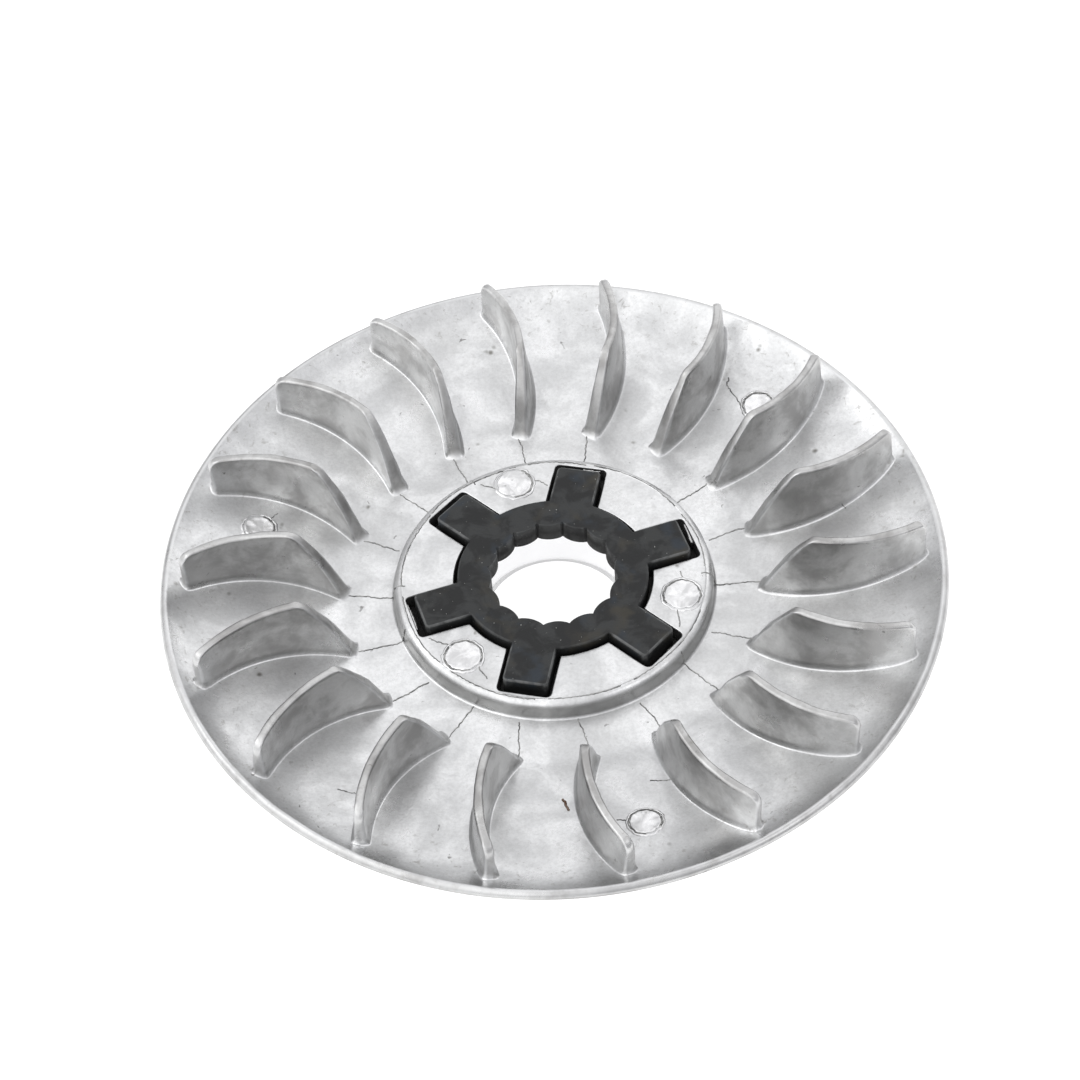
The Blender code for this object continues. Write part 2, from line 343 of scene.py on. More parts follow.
def in_outline(points, outline):
    """Which plan points lie inside a closed outline."""
    x, y = points[:, :1], points[:, 1:2]
    x1, y1 = outline[:, 0], outline[:, 1]
    x2, y2 = np.roll(x1, -1), np.roll(y1, -1)
    crosses = (y1 > y) != (y2 > y)
    at = x1 + (y - y1) * (x2 - x1) / np.where(y2 == y1, 1e-12, y2 - y1)
    return ((x < at) & crosses).sum(axis=1) % 2 == 1


def gap_to(points, outline):
    """Plan distance from each point to the nearest corner of an outline."""
    return np.linalg.norm(points[:, None, :] - outline[None, :, :], axis=2).min(axis=1)


def face_sides(face):
    return [frozenset((face[i - 1], face[i])) for i in range(len(face))]


def filled(outline, hole, inside, clear):
    """Triangles between two plan loops, using those inside points that keep clear of both.
    They are gathered by spreading from a triangle with an inside point, and a loop's edges stop
    the spread."""
    keep = in_outline(inside, outline) & ~in_outline(inside, hole)
    keep &= (gap_to(inside, outline) > clear) & (gap_to(inside, hole) > clear)
    plan = np.concatenate([outline, hole, inside[keep]])
    ring, holes = len(outline), len(hole)
    edges = [(i, (i + 1) % ring) for i in range(ring)]
    edges += [(ring + i, ring + (i + 1) % holes) for i in range(holes)]
    corners = [Vector(1000 * point) for point in plan]
    _, _, faces, sources, _, _ = delaunay_2d_cdt(corners, edges, [], 0, 1e-6)
    faces = [[sources[i][0] for i in face] for face in faces]
    owners = {}
    for number, face in enumerate(faces):
        for side in face_sides(face):
            owners.setdefault(side, []).append(number)
    walls = {frozenset(edge) for edge in edges}
    waiting = [next(number for number, face in enumerate(faces) if max(face) >= ring + holes)]
    wanted = set(waiting)
    while waiting:
        for side in face_sides(faces[waiting.pop()]):
            if side in walls:
                continue
            fresh = [number for number in owners[side] if number not in wanted]
            wanted.update(fresh)
            waiting += fresh
    return plan, [faces[number] for number in sorted(wanted)]


# %% [markdown]
# ## The disc between the blades
# The fan face repeats every twenty degrees: one blade with the piece of disc round it. That piece is filled
# with small triangles between the foot of the blade and the piece's edge. Its edge points stand one degree
# apart, so the pieces meet point to point when they are turned round the axis and merge into one skin.

# %% One sector of the fan face
BOSS_FOOT = BOSS_RADIUS + BOSS_DRAFT + BOSS_FILLET_REACH
SECTOR_END = OUTER_RADIUS - 0.0015
DEGREES_PER_SECTOR = 360 // BLADE_COUNT
RADIAL_STEPS = 36
GRID_CLEARANCE = 0.0003


def polar_grid(radii, angles):
    radii, angles = np.meshgrid(radii, angles, indexing="ij")
    return np.stack([radii * np.cos(angles), radii * np.sin(angles)], axis=-1).reshape(-1, 2)


def make_sector():
    half = math.pi / BLADE_COUNT
    angles = np.linspace(-half, half, DEGREES_PER_SECTOR + 1)
    radii = np.linspace(BOSS_FOOT, SECTOR_END, RADIAL_STEPS + 1)
    boundary = np.concatenate([
        polar_grid([BOSS_FOOT], angles[::-1]),
        polar_grid(radii[1:-1], [-half]),
        polar_grid([SECTOR_END], angles),
        polar_grid(radii[1:-1], [half])[::-1],
    ])
    foot = blade_skin[0][:, :2]
    plan, faces = filled(boundary, foot, polar_grid(radii[1:-1], angles[1:-1]), GRID_CLEARANCE)
    sector = Shell()
    heights = fan_face_height(np.linalg.norm(plan, axis=1))
    sector.add(np.column_stack([plan, heights]), faces)
    sector.add_rows(blade_skin)
    side, nose = SIDE_POINTS, NOSE_POINTS
    last = 2 * side + nose - 1
    cap = [(i, i + 1, last - i - 1, last - i) for i in range(side - 1)]
    cap.append(tuple(range(side - 1, side + nose + 1)))
    cap.append(tuple(range(last, last + nose + 1)) + (0,))
    sector.add(blade_skin[-1], cap)
    return sector


sector_shell = make_sector()
print("sector faces:", len(sector_shell.faces))


# %% [markdown]
# ## Copies round the axis
# Blades and ejector marks repeat evenly round the axis. An Array modifier with a turned empty would do it,
# but a Geometry Nodes tree needs no helper object and says the count and first angle by name. It puts one
# instance on each of a row of points at the centre, turns each by its share of a turn, and makes them real.

# %% Geometry Nodes tree: copies round the axis
def new_tree(name, inputs):
    tree = bpy.data.node_groups.new(name, "GeometryNodeTree")
    tree.interface.new_socket(name="Geometry", in_out="INPUT", socket_type="NodeSocketGeometry")
    for label, kind in inputs:
        tree.interface.new_socket(name=label, in_out="INPUT", socket_type="NodeSocket" + kind)
    tree.interface.new_socket(name="Geometry", in_out="OUTPUT", socket_type="NodeSocketGeometry")
    return tree, tree.nodes.new("NodeGroupInput"), tree.nodes.new("NodeGroupOutput")


def feed(tree, socket, value):
    """Links a value that comes from a node, and sets one that is a constant."""
    if isinstance(value, bpy.types.NodeSocket):
        tree.links.new(value, socket)
    else:
        socket.default_value = value


def math_node(tree, operation, first, second):
    made = tree.nodes.new("ShaderNodeMath")
    made.operation = operation
    feed(tree, made.inputs[0], first)
    feed(tree, made.inputs[1], second)
    return made.outputs[0]


def make_ring_tree():
    tree, given, result = new_tree(
        "copies_round_axis", [("Count", "Int"), ("First Angle", "Float"), ("Material", "Material")]
    )
    points = tree.nodes.new("GeometryNodePoints")
    copies = tree.nodes.new("GeometryNodeInstanceOnPoints")
    index = tree.nodes.new("GeometryNodeInputIndex")
    turn = tree.nodes.new("ShaderNodeCombineXYZ")
    rotation = tree.nodes.new("FunctionNodeEulerToRotation")
    real = tree.nodes.new("GeometryNodeRealizeInstances")
    painted = tree.nodes.new("GeometryNodeSetMaterial")
    step = math_node(tree, "DIVIDE", 2 * math.pi, given.outputs["Count"])
    angle = math_node(tree, "MULTIPLY", index.outputs[0], step)
    angle = math_node(tree, "ADD", angle, given.outputs["First Angle"])
    tree.links.new(angle, turn.inputs["Z"])
    tree.links.new(turn.outputs[0], rotation.inputs[0])
    tree.links.new(given.outputs["Count"], points.inputs["Count"])
    tree.links.new(points.outputs[0], copies.inputs["Points"])
    tree.links.new(given.outputs["Geometry"], copies.inputs["Instance"])
    tree.links.new(rotation.outputs[0], copies.inputs["Rotation"])
    tree.links.new(copies.outputs[0], real.inputs[0])
    tree.links.new(real.outputs[0], painted.inputs["Geometry"])
    tree.links.new(given.outputs["Material"], painted.inputs["Material"])
    tree.links.new(painted.outputs[0], result.inputs["Geometry"])
    return tree


def apply_tree(thing, tree, values):
    """The plain mesh object that the tree makes of a thing, in the thing's place."""
    step = thing.modifiers.new(tree.name, "NODES")
    step.node_group = tree
    for item in tree.interface.items_tree:
        if item.item_type == "SOCKET" and item.in_out == "INPUT" and item.name in values:
            step[item.identifier] = values[item.name]
    bpy.context.view_layer.update()
    graph = bpy.context.evaluated_depsgraph_get()
    mesh = bpy.data.meshes.new_from_object(thing.evaluated_get(graph))
    name = thing.name
    bpy.data.objects.remove(thing, do_unlink=True)
    mesh.name = name
    made = bpy.data.objects.new(name, mesh)
    bpy.context.scene.collection.objects.link(made)
    return made


ring_tree = make_ring_tree()
print("tree", ring_tree.name, "with", len(ring_tree.nodes), "nodes")

# %% [markdown]
# ## Finishes shared by the metals
# Cast aluminium is never one grey. It has cloudy patches where the melt met itself, small pits, a fine skin
# from the die, and bright rubbed edges. Blackened steel has clouds, specks and rubbed edges too, in other
# strengths. So each effect is one shader node group with its own sizes and strengths, used in both metals,
# and only the shader itself stays in the material.

# %% Building blocks for shader trees
def shader_group(name, inputs, outputs):
    tree = bpy.data.node_groups.new(name, "ShaderNodeTree")
    for label, kind, value in inputs:
        socket = tree.interface.new_socket(name=label, in_out="INPUT", socket_type="NodeSocket" + kind)
        if value is not None:
            socket.default_value = value
    for label, kind in outputs:
        tree.interface.new_socket(name=label, in_out="OUTPUT", socket_type="NodeSocket" + kind)
    return tree, tree.nodes.new("NodeGroupInput").outputs, tree.nodes.new("NodeGroupOutput").inputs


def put(tree, kind, settings=(), **inputs):
    """A node with its settings made and each named input linked or set."""
    made = tree.nodes.new(kind)
    for key, value in dict(settings).items():
        setattr(made, key, value)
    for label, value in inputs.items():
        feed(tree, made.inputs[label.replace("_", " ")], value)
    return made


def vector_node(tree, operation, *values):
    made = put(tree, "ShaderNodeVectorMath", {"operation": operation})
    for socket, value in zip(made.inputs, values):
        feed(tree, socket, value)
    return made


def noise_at(tree, vector, scale, detail, rough=0.5, distort=0.0):
    """Soft random spots, smaller where the scale is larger."""
    made = put(
        tree, "ShaderNodeTexNoise",
        Vector=vector, Scale=scale, Detail=detail, Roughness=rough, Distortion=distort,
    )
    return made.outputs["Fac"]


def remap(tree, value, low, high, to_low=0.0, to_high=1.0):
    """A smooth step from to_low, at low and under it, to to_high, at high and over it."""
    made = put(
        tree, "ShaderNodeMapRange", {"interpolation_type": "SMOOTHSTEP"},
        Value=value, From_Min=low, From_Max=high, To_Min=to_low, To_Max=to_high,
    )
    return made.outputs[0]


def mixed(tree, share, first, second, blend="MIX"):
    made = put(tree, "ShaderNodeMix", {"data_type": "RGBA", "blend_type": blend})
    for socket, value in ((made.inputs[0], share), (made.inputs[6], first), (made.inputs[7], second)):
        feed(tree, socket, value)
    return made.outputs[2]


def attribute(tree, name):
    """A number that was stored on each point of the mesh."""
    return put(tree, "ShaderNodeAttribute", {"attribute_name": name}).outputs["Fac"]


def raised(tree, base, share, mask):
    """The base plus a share of the mask."""
    return math_node(tree, "ADD", base, math_node(tree, "MULTIPLY", mask, share))


# %% Group: clouds in the metal
STREAK_CHANGES_OUTWARDS = 70.0
STREAK_CHANGES_AROUND = 9.0


def make_clouds():
    tree, given, result = shader_group(
        "metal_clouds",
        [
            ("Vector", "Vector", None),
            ("Size", "Float", 120.0),
            ("Pale", "Color", (0.8, 0.8, 0.8, 1.0)),
            ("Dark", "Color", (0.5, 0.5, 0.5, 1.0)),
            ("Spread", "Float", 0.16),
            ("Streaks", "Float", 0.4),
        ],
        [("Colour", "Color"), ("Mask", "Float")],
    )
    broad = noise_at(tree, given["Vector"], given["Size"], detail=5.0, rough=0.6, distort=0.6)
    flat = vector_node(tree, "MULTIPLY", given["Vector"], (1.0, 1.0, 0.0))
    away = vector_node(tree, "NORMALIZE", flat.outputs[0])
    length = vector_node(tree, "LENGTH", flat.outputs[0])
    reach = math_node(tree, "MULTIPLY", length.outputs["Value"], STREAK_CHANGES_OUTWARDS)
    lengthwise = put(tree, "ShaderNodeCombineXYZ", Z=reach)
    wide = vector_node(tree, "SCALE", away.outputs[0])
    wide.inputs["Scale"].default_value = STREAK_CHANGES_AROUND
    radial = vector_node(tree, "ADD", wide.outputs[0], lengthwise.outputs[0])
    streak = noise_at(tree, radial.outputs[0], scale=1.6, detail=6.0, rough=0.65, distort=0.8)
    streak_part = math_node(tree, "MULTIPLY", streak, given["Streaks"])
    rest = math_node(tree, "SUBTRACT", 1.0, given["Streaks"])
    cloud = math_node(tree, "ADD", math_node(tree, "MULTIPLY", broad, rest), streak_part)
    low = math_node(tree, "SUBTRACT", 0.5, given["Spread"])
    high = math_node(tree, "ADD", 0.5, given["Spread"])
    mask = remap(tree, cloud, low, high)
    tree.links.new(mixed(tree, mask, given["Pale"], given["Dark"]), result["Colour"])
    tree.links.new(mask, result["Mask"])
    return tree


# %% Group: skin grain and pits
def make_grain():
    tree, given, result = shader_group(
        "skin_grain",
        [
            ("Vector", "Vector", None),
            ("Grain Size", "Float", 2600.0),
            ("Pit Size", "Float", 700.0),
            ("Pit Share", "Float", 0.12),
            ("Waves", "Float", 0.5),
        ],
        [("Height", "Float"), ("Pits", "Float")],
    )
    fine = noise_at(tree, given["Vector"], given["Grain Size"], detail=3.0, rough=0.6)
    wave_size = math_node(tree, "MULTIPLY", given["Grain Size"], 0.12)
    wavy = noise_at(tree, given["Vector"], wave_size, detail=3.0, rough=0.55)
    cells = put(tree, "ShaderNodeTexVoronoi", Vector=given["Vector"], Scale=given["Pit Size"])
    patch_size = math_node(tree, "MULTIPLY", given["Pit Size"], 0.35)
    chosen = noise_at(tree, given["Vector"], patch_size, detail=2.0)
    round_pit = remap(tree, cells.outputs["Distance"], low=0.05, high=0.32, to_low=1.0, to_high=0.0)
    edge = math_node(tree, "SUBTRACT", 0.75, given["Pit Share"])
    here = remap(tree, chosen, edge, math_node(tree, "ADD", edge, 0.06))
    pits = math_node(tree, "MULTIPLY", round_pit, here)
    height = math_node(tree, "ADD", fine, math_node(tree, "MULTIPLY", wavy, given["Waves"]))
    height = math_node(tree, "SUBTRACT", height, pits)
    tree.links.new(height, result["Height"])
    tree.links.new(pits, result["Pits"])
    return tree


# %% Group: rubbed edges
def make_rubbed():
    tree, given, result = shader_group(
        "rubbed_edges",
        [
            ("Vector", "Vector", None),
            ("Colour", "Color", (0.5, 0.5, 0.5, 1.0)),
            ("Rubbed Colour", "Color", (0.9, 0.9, 0.9, 1.0)),
            ("Amount", "Float", 0.7),
            ("Break Size", "Float", 500.0),
        ],
        [("Colour", "Color"), ("Mask", "Float")],
    )
    edge = attribute(tree, "ridge")
    broken = noise_at(tree, given["Vector"], given["Break Size"], detail=3.0, rough=0.6)
    kept = remap(tree, broken, low=0.3, high=0.6, to_low=0.35)
    mask = math_node(tree, "MULTIPLY", remap(tree, edge, low=0.12, high=0.55), kept)
    mask = math_node(tree, "MULTIPLY", mask, given["Amount"])
    tree.links.new(mixed(tree, mask, given["Colour"], given["Rubbed Colour"]), result["Colour"])
    tree.links.new(mask, result["Mask"])
    return tree


clouds_group, grain_group, rubbed_group = make_clouds(), make_grain(), make_rubbed()
print("shared finishes:", clouds_group.name, grain_group.name, rubbed_group.name)


# %% [markdown]
# ## The finishes
# The casting is dull and clouded, with smoke, specks and a little dirt near the rim; its blade walls, boss
# wall and rim band are painted darker as shade. The pins pressed their marks smoother and paler. The belt
# face and the bore are turned, so they carry fine rings. The pocket is painted black as shade, and the
# insert is blackened steel with rubbed edges, painted near black as shade below its top edge. Each finish
# is one
# material: shared groups do the clouds, the grain and the rubbing, and a few noises add what only that
# metal has. Which points are a wall, a ridge or near the rim is stored on the mesh, so the pattern follows
# the shape.

# %% A material's own tree
def new_material(name, **constants):
    """A material, its tree and its shader, with the shader's constant values set on it directly."""
    material = bpy.data.materials.new(name)
    material.use_nodes = True
    tree = material.node_tree
    shader = tree.nodes["Principled BSDF"]
    for label, value in constants.items():
        shader.inputs[label.replace("_", " ")].default_value = value
    return material, tree, shader


def use_group(tree, group, **inputs):
    made = tree.nodes.new("ShaderNodeGroup")
    made.node_tree = group
    for label, value in inputs.items():
        feed(tree, made.inputs[label.replace("_", " ")], value)
    return made.outputs


def placed(tree, turn=0.0):
    """Object coordinates through a Mapping node, turned about the axis."""
    where = tree.nodes.new("ShaderNodeTexCoord")
    mapping = put(tree, "ShaderNodeMapping", Vector=where.outputs["Object"])
    mapping.inputs["Rotation"].default_value = (0.0, 0.0, turn)
    return mapping.outputs[0]


def bump(tree, shader, height, strength, distance):
    made = put(tree, "ShaderNodeBump", Strength=strength, Distance=distance, Height=height)
    tree.links.new(made.outputs[0], shader.inputs["Normal"])


# %% Cast aluminium
def make_cast_aluminium():
    material, tree, shader = new_material("cast_aluminium", Metallic=1.0)
    vector = placed(tree)
    clouds = use_group(
        tree, clouds_group, Vector=vector, Size=120.0, Spread=0.13, Streaks=0.10,
        Pale=(0.79, 0.795, 0.80, 1.0), Dark=(0.63, 0.635, 0.64, 1.0),
    )
    grain = use_group(
        tree, grain_group, Vector=vector, Grain_Size=2400.0, Pit_Size=520.0, Pit_Share=0.10, Waves=0.5
    )
    # Blade walls, the boss wall and the rim band are painted a darker grey as shade, blotched by a noise.
    wall = attribute(tree, "blade_wall_shade")
    smudges = noise_at(tree, vector, scale=170.0, detail=5.0, rough=0.62, distort=0.3)
    smudge = remap(tree, smudges, low=0.40, high=0.64)
    walls = mixed(tree, smudge, (0.57, 0.57, 0.565, 1.0), (0.35, 0.345, 0.34, 1.0))
    colour = mixed(tree, wall, clouds["Colour"], walls)
    # The boss wall is painted darker still: painted shade.
    shaded = math_node(tree, "MULTIPLY", attribute(tree, "boss_wall_shade"), 0.6)
    colour = mixed(tree, shaded, colour, (0.27, 0.27, 0.265, 1.0))
    smoke = noise_at(tree, vector, scale=52.0, detail=6.0, rough=0.66, distort=0.2)
    smoke = remap(tree, smoke, low=0.50, high=0.68, to_high=0.24)
    colour = mixed(tree, smoke, colour, (0.42, 0.42, 0.415, 1.0))
    speckle = noise_at(tree, vector, scale=1900.0, detail=4.0, rough=0.75)
    speckle = remap(tree, speckle, low=0.40, high=0.62, to_high=0.22)
    colour = mixed(tree, speckle, colour, (0.40, 0.40, 0.395, 1.0))
    soot = noise_at(tree, vector, scale=620.0, detail=3.0, rough=0.55, distort=0.6)
    soot = remap(tree, soot, low=0.70, high=0.76, to_high=0.75)
    colour = mixed(tree, soot, colour, (0.16, 0.155, 0.15, 1.0))
    dirt = noise_at(tree, vector, scale=900.0, detail=4.0, rough=0.7, distort=0.5)
    dirt = remap(tree, dirt, low=0.56, high=0.70)
    dirt = math_node(tree, "MULTIPLY", dirt, raised(tree, 0.14, 0.42, attribute(tree, "rim_grime")))
    colour = mixed(tree, dirt, colour, (0.36, 0.35, 0.33, 1.0))
    colour = mixed(tree, grain["Pits"], colour, (0.25, 0.245, 0.23, 1.0))
    rubbed = use_group(
        tree, rubbed_group, Vector=vector, Colour=colour, Rubbed_Colour=(0.68, 0.685, 0.69, 1.0),
        Amount=0.8, Break_Size=420.0,
    )
    tree.links.new(rubbed["Colour"], shader.inputs["Base Color"])
    rough = raised(tree, 0.27, 0.13, clouds["Mask"])
    rough = raised(tree, rough, 0.25, dirt)
    tree.links.new(rough, shader.inputs["Roughness"])
    bump(tree, shader, grain["Height"], strength=0.30, distance=0.00006)
    return material


# %% Pressed aluminium, under the ejector pins
def make_pressed_aluminium():
    material, tree, shader = new_material("pressed_aluminium", Metallic=1.0)
    vector = placed(tree)
    clouds = use_group(
        tree, clouds_group, Vector=vector, Size=420.0, Spread=0.12, Streaks=0.0,
        Pale=(0.85, 0.85, 0.855, 1.0), Dark=(0.62, 0.62, 0.625, 1.0),
    )
    grain = use_group(
        tree, grain_group, Vector=vector, Grain_Size=1500.0, Pit_Size=800.0, Pit_Share=0.14, Waves=2.5
    )
    colour = mixed(tree, grain["Pits"], clouds["Colour"], (0.2, 0.2, 0.19, 1.0))
    tree.links.new(colour, shader.inputs["Base Color"])
    tree.links.new(raised(tree, 0.24, 0.14, clouds["Mask"]), shader.inputs["Roughness"])
    bump(tree, shader, grain["Height"], strength=0.42, distance=0.00009)
    return material


# %% Machined aluminium
def make_machined_aluminium():
    material, tree, shader = new_material("machined_aluminium", Metallic=1.0)
    vector = placed(tree)
    rings = put(
        tree, "ShaderNodeTexWave", {"wave_type": "RINGS", "rings_direction": "Z"},
        Vector=vector, Scale=640.0, Distortion=0.4, Detail=2.0, Detail_Scale=3.0,
    )
    clouds = use_group(
        tree, clouds_group, Vector=vector, Size=60.0, Spread=0.2, Streaks=0.0,
        Pale=(0.94, 0.94, 0.95, 1.0), Dark=(0.88, 0.88, 0.89, 1.0),
    )
    rubbed = use_group(
        tree, rubbed_group, Vector=vector, Colour=clouds["Colour"], Rubbed_Colour=(0.93, 0.93, 0.94, 1.0),
        Amount=0.5, Break_Size=300.0,
    )
    tree.links.new(rubbed["Colour"], shader.inputs["Base Color"])
    tree.links.new(raised(tree, 0.22, 0.14, rings.outputs["Fac"]), shader.inputs["Roughness"])
    bump(tree, shader, rings.outputs["Fac"], strength=0.5, distance=0.00003)
    return material


# %% Painted shade in the pocket
def make_pocket_shade():
    material, tree, shader = new_material("pocket_shade", Metallic=0.0, Roughness=0.8)
    vector = placed(tree)
    patches = noise_at(tree, vector, scale=500.0, detail=4.0, rough=0.6)
    patches = remap(tree, patches, low=0.4, high=0.7)
    # The pocket's near-black colour is painted shade of the deep gap round the insert.
    colour = mixed(tree, patches, (0.012, 0.012, 0.012, 1.0), (0.05, 0.05, 0.048, 1.0))
    tree.links.new(colour, shader.inputs["Base Color"])
    grain = use_group(
        tree, grain_group, Vector=vector, Grain_Size=1800.0, Pit_Size=500.0, Pit_Share=0.2, Waves=1.0
    )
    bump(tree, shader, grain["Height"], strength=0.5, distance=0.00008)
    return material


# %% Dark steel
def make_dark_steel():
    material, tree, shader = new_material("dark_steel", Metallic=0.0)
    shader.inputs["Specular IOR Level"].default_value = 0.4
    vector = placed(tree)
    clouds = use_group(
        tree, clouds_group, Vector=vector, Size=300.0, Spread=0.09, Streaks=0.0,
        Pale=(0.018, 0.0195, 0.020, 1.0), Dark=(0.005, 0.0055, 0.006, 1.0),
    )
    tint = noise_at(tree, vector, scale=190.0, detail=3.0, distort=0.4)
    tint = remap(tree, tint, low=0.52, high=0.72)
    colour = mixed(tree, tint, clouds["Colour"], (0.026, 0.023, 0.016, 1.0))
    blue = noise_at(tree, placed(tree, turn=1.1), scale=240.0, detail=3.0)
    blue = remap(tree, blue, low=0.56, high=0.74)
    colour = mixed(tree, blue, colour, (0.012, 0.018, 0.026, 1.0))
    specks = noise_at(tree, vector, scale=3100.0, detail=2.0)
    specks = remap(tree, specks, low=0.735, high=0.775)
    colour = mixed(tree, specks, colour, (0.50, 0.50, 0.48, 1.0))
    rubbed = use_group(
        tree, rubbed_group, Vector=vector, Colour=colour, Rubbed_Colour=(0.16, 0.163, 0.163, 1.0),
        Amount=0.75, Break_Size=700.0,
    )
    # Below its top edge the insert is painted near black: painted shade.
    insert_depth_shade = attribute(tree, "insert_depth_shade")
    colour = mixed(tree, insert_depth_shade, rubbed["Colour"], (0.004, 0.004, 0.004, 1.0))
    tree.links.new(colour, shader.inputs["Base Color"])
    grain = use_group(
        tree, grain_group, Vector=vector, Grain_Size=3000.0, Pit_Size=900.0, Pit_Share=0.15, Waves=1.0
    )
    rough = raised(tree, 0.36, 0.16, clouds["Mask"])
    rough = raised(tree, rough, 0.3, insert_depth_shade)
    tree.links.new(rough, shader.inputs["Roughness"])
    bump(tree, shader, grain["Height"], strength=0.5, distance=0.00006)
    return material


# %% Painted shade of the hairlines and seams, and a brown stain
def make_dull(name, dark, pale, rough):
    material, tree, shader = new_material(name, Metallic=0.5, Roughness=rough)
    patches = noise_at(tree, placed(tree), scale=900.0, detail=3.0, rough=0.6)
    patches = remap(tree, patches, low=0.35, high=0.65)
    tree.links.new(mixed(tree, patches, dark, pale), shader.inputs["Base Color"])
    return material


# The threads' dark grey is painted shade along the raised lines and in the grooves round the marks.
thread_shade = make_dull("thread_shade", (0.13, 0.13, 0.13, 1.0), (0.40, 0.40, 0.39, 1.0), rough=0.6)
brown_stain = make_dull("brown_stain", (0.13, 0.07, 0.045, 1.0), (0.30, 0.23, 0.19, 1.0), rough=0.8)
cast_aluminium = make_cast_aluminium()
pressed_aluminium = make_pressed_aluminium()
machined_aluminium = make_machined_aluminium()
pocket_shade = make_pocket_shade()
dark_steel = make_dark_steel()
print("materials:", [item.name for item in bpy.data.materials])

# %% [markdown]
# ## The turned parts of the casting
# The rim, the belt face, the hub, the bore and the boss are the same all the way round. A Screw modifier
# could turn a profile, but the loops here have to meet the sectors' edge points exactly, so they are made
# as rows of points one degree apart, in the same skin as the blades.

# %% Rows round the axis
TURN_POINTS = 360
turn_angles = BLADE_PHASE + np.arange(TURN_POINTS) * 2 * math.pi / TURN_POINTS


def circle_rows(profile):
    return [
        np.column_stack([polar_grid([radius], turn_angles), np.full(TURN_POINTS, height)])
        for radius, height in profile
    ]


def profile_arc(centre, radius, start, end, steps=5):
    angles = np.radians(np.linspace(start, end, steps + 1))
    return [(centre[0] + radius * math.cos(a), centre[1] + radius * math.sin(a)) for a in angles]


def profile_line(start, end, steps):
    return [tuple(point) for point in np.linspace(start, end, steps + 1)]


# %% Rim, from the sectors' edge to the bevel
lip_end = OUTER_RADIUS - RIM_FRONT_ROUND
lip_top = float(fan_face_height(lip_end))
bevel_start = OUTER_RADIUS - RIM_BEVEL
bevel_height = RIM_BEVEL * math.tan(RIM_BEVEL_ANGLE)
rim_edge = belt_face_height(bevel_start) + bevel_height
lip_radii = np.linspace(SECTOR_END, lip_end, 3)
# the lip, its round front edge, the outside wall with its broken corner, and the bevel behind
rim_profile = [(r, float(fan_face_height(r))) for r in lip_radii[:-1]]
rim_profile += profile_arc((lip_end, lip_top - RIM_FRONT_ROUND), RIM_FRONT_ROUND, 90, 0, 6)
rim_profile += [(OUTER_RADIUS, rim_edge + 0.0001), (OUTER_RADIUS - 0.00007, rim_edge - 0.00004)]
bevel_end = (bevel_start, belt_face_height(bevel_start))
rim_profile += profile_line((OUTER_RADIUS - 0.0002, rim_edge - 0.00017), bevel_end, 2)

# %% Belt face, hub and bore
cone_end = HUB_RADIUS + 0.0006
corner_start = HUB_RADIUS + 0.0002
belt_profile = profile_line(bevel_end, (cone_end, belt_face_height(cone_end)), 12)
belt_profile += [(corner_start, belt_face_height(corner_start) - 0.00003)]
belt_profile += [(HUB_RADIUS, belt_face_height(HUB_RADIUS) - 0.0003)]
belt_profile += [(HUB_RADIUS, HUB_END_CHAMFER), (HUB_RADIUS - HUB_END_CHAMFER, 0.0)]
belt_profile += profile_line((HUB_RADIUS - 0.001, 0.0), (BORE_RADIUS + HUB_END_CHAMFER + 0.0004, 0.0), 5)
belt_profile += [(BORE_RADIUS + HUB_END_CHAMFER, 0.0), (BORE_RADIUS, HUB_END_CHAMFER)]
belt_profile += [(BORE_RADIUS, pocket_floor * 0.5), (BORE_RADIUS, pocket_floor)]

# %% Boss edge and wall, down to the disc
boss_floor = float(fan_face_height(BOSS_FOOT))
part_line = BOSS_RADIUS - BOSS_ROUND + 0.0001
# a low ridge at the parting line, the round edge and draft of the wall, and the fillet at its foot
boss_profile = [(part_line - 0.00014, BOSS_TOP), (part_line - 0.00006, BOSS_TOP + 0.00003)]
boss_profile += [(part_line, BOSS_TOP + 0.00006), (part_line + 0.00007, BOSS_TOP - 0.00002)]
boss_profile += profile_arc((BOSS_RADIUS - BOSS_ROUND, BOSS_TOP - BOSS_ROUND), BOSS_ROUND, 76, 4, 6)
BOSS_FILLET_POINTS = 8
for i in range(BOSS_FILLET_POINTS):
    angle = 0.5 * math.pi * (1 - i / (BOSS_FILLET_POINTS - 1))
    reach = BOSS_FOOT - BOSS_FILLET_REACH * math.sin(angle)
    boss_profile.append((reach, boss_floor + BOSS_FILLET_RISE * (1 - math.cos(angle))))
print("profiles:", len(rim_profile), len(belt_profile), len(boss_profile), "rows")

# %% [markdown]
# ## The star pocket
# The boss's top has a pocket in the outline of the insert, a little wider all round. The outline is a ring
# with six straight arms. The pocket's floor and the boss's top are filled between outlines, as the sector
# was, and the pocket's wall joins them. The wall and floor are painted black as shade, which shows round
# the insert as a thin black line.

# %% Outlines of the star and the spline
def turned_plan(points, angle):
    """Plan points turned about the axis."""
    c, s = math.cos(angle), math.sin(angle)
    points = np.asarray(points)
    return np.column_stack([c * points[:, 0] - s * points[:, 1], s * points[:, 0] + c * points[:, 1]])


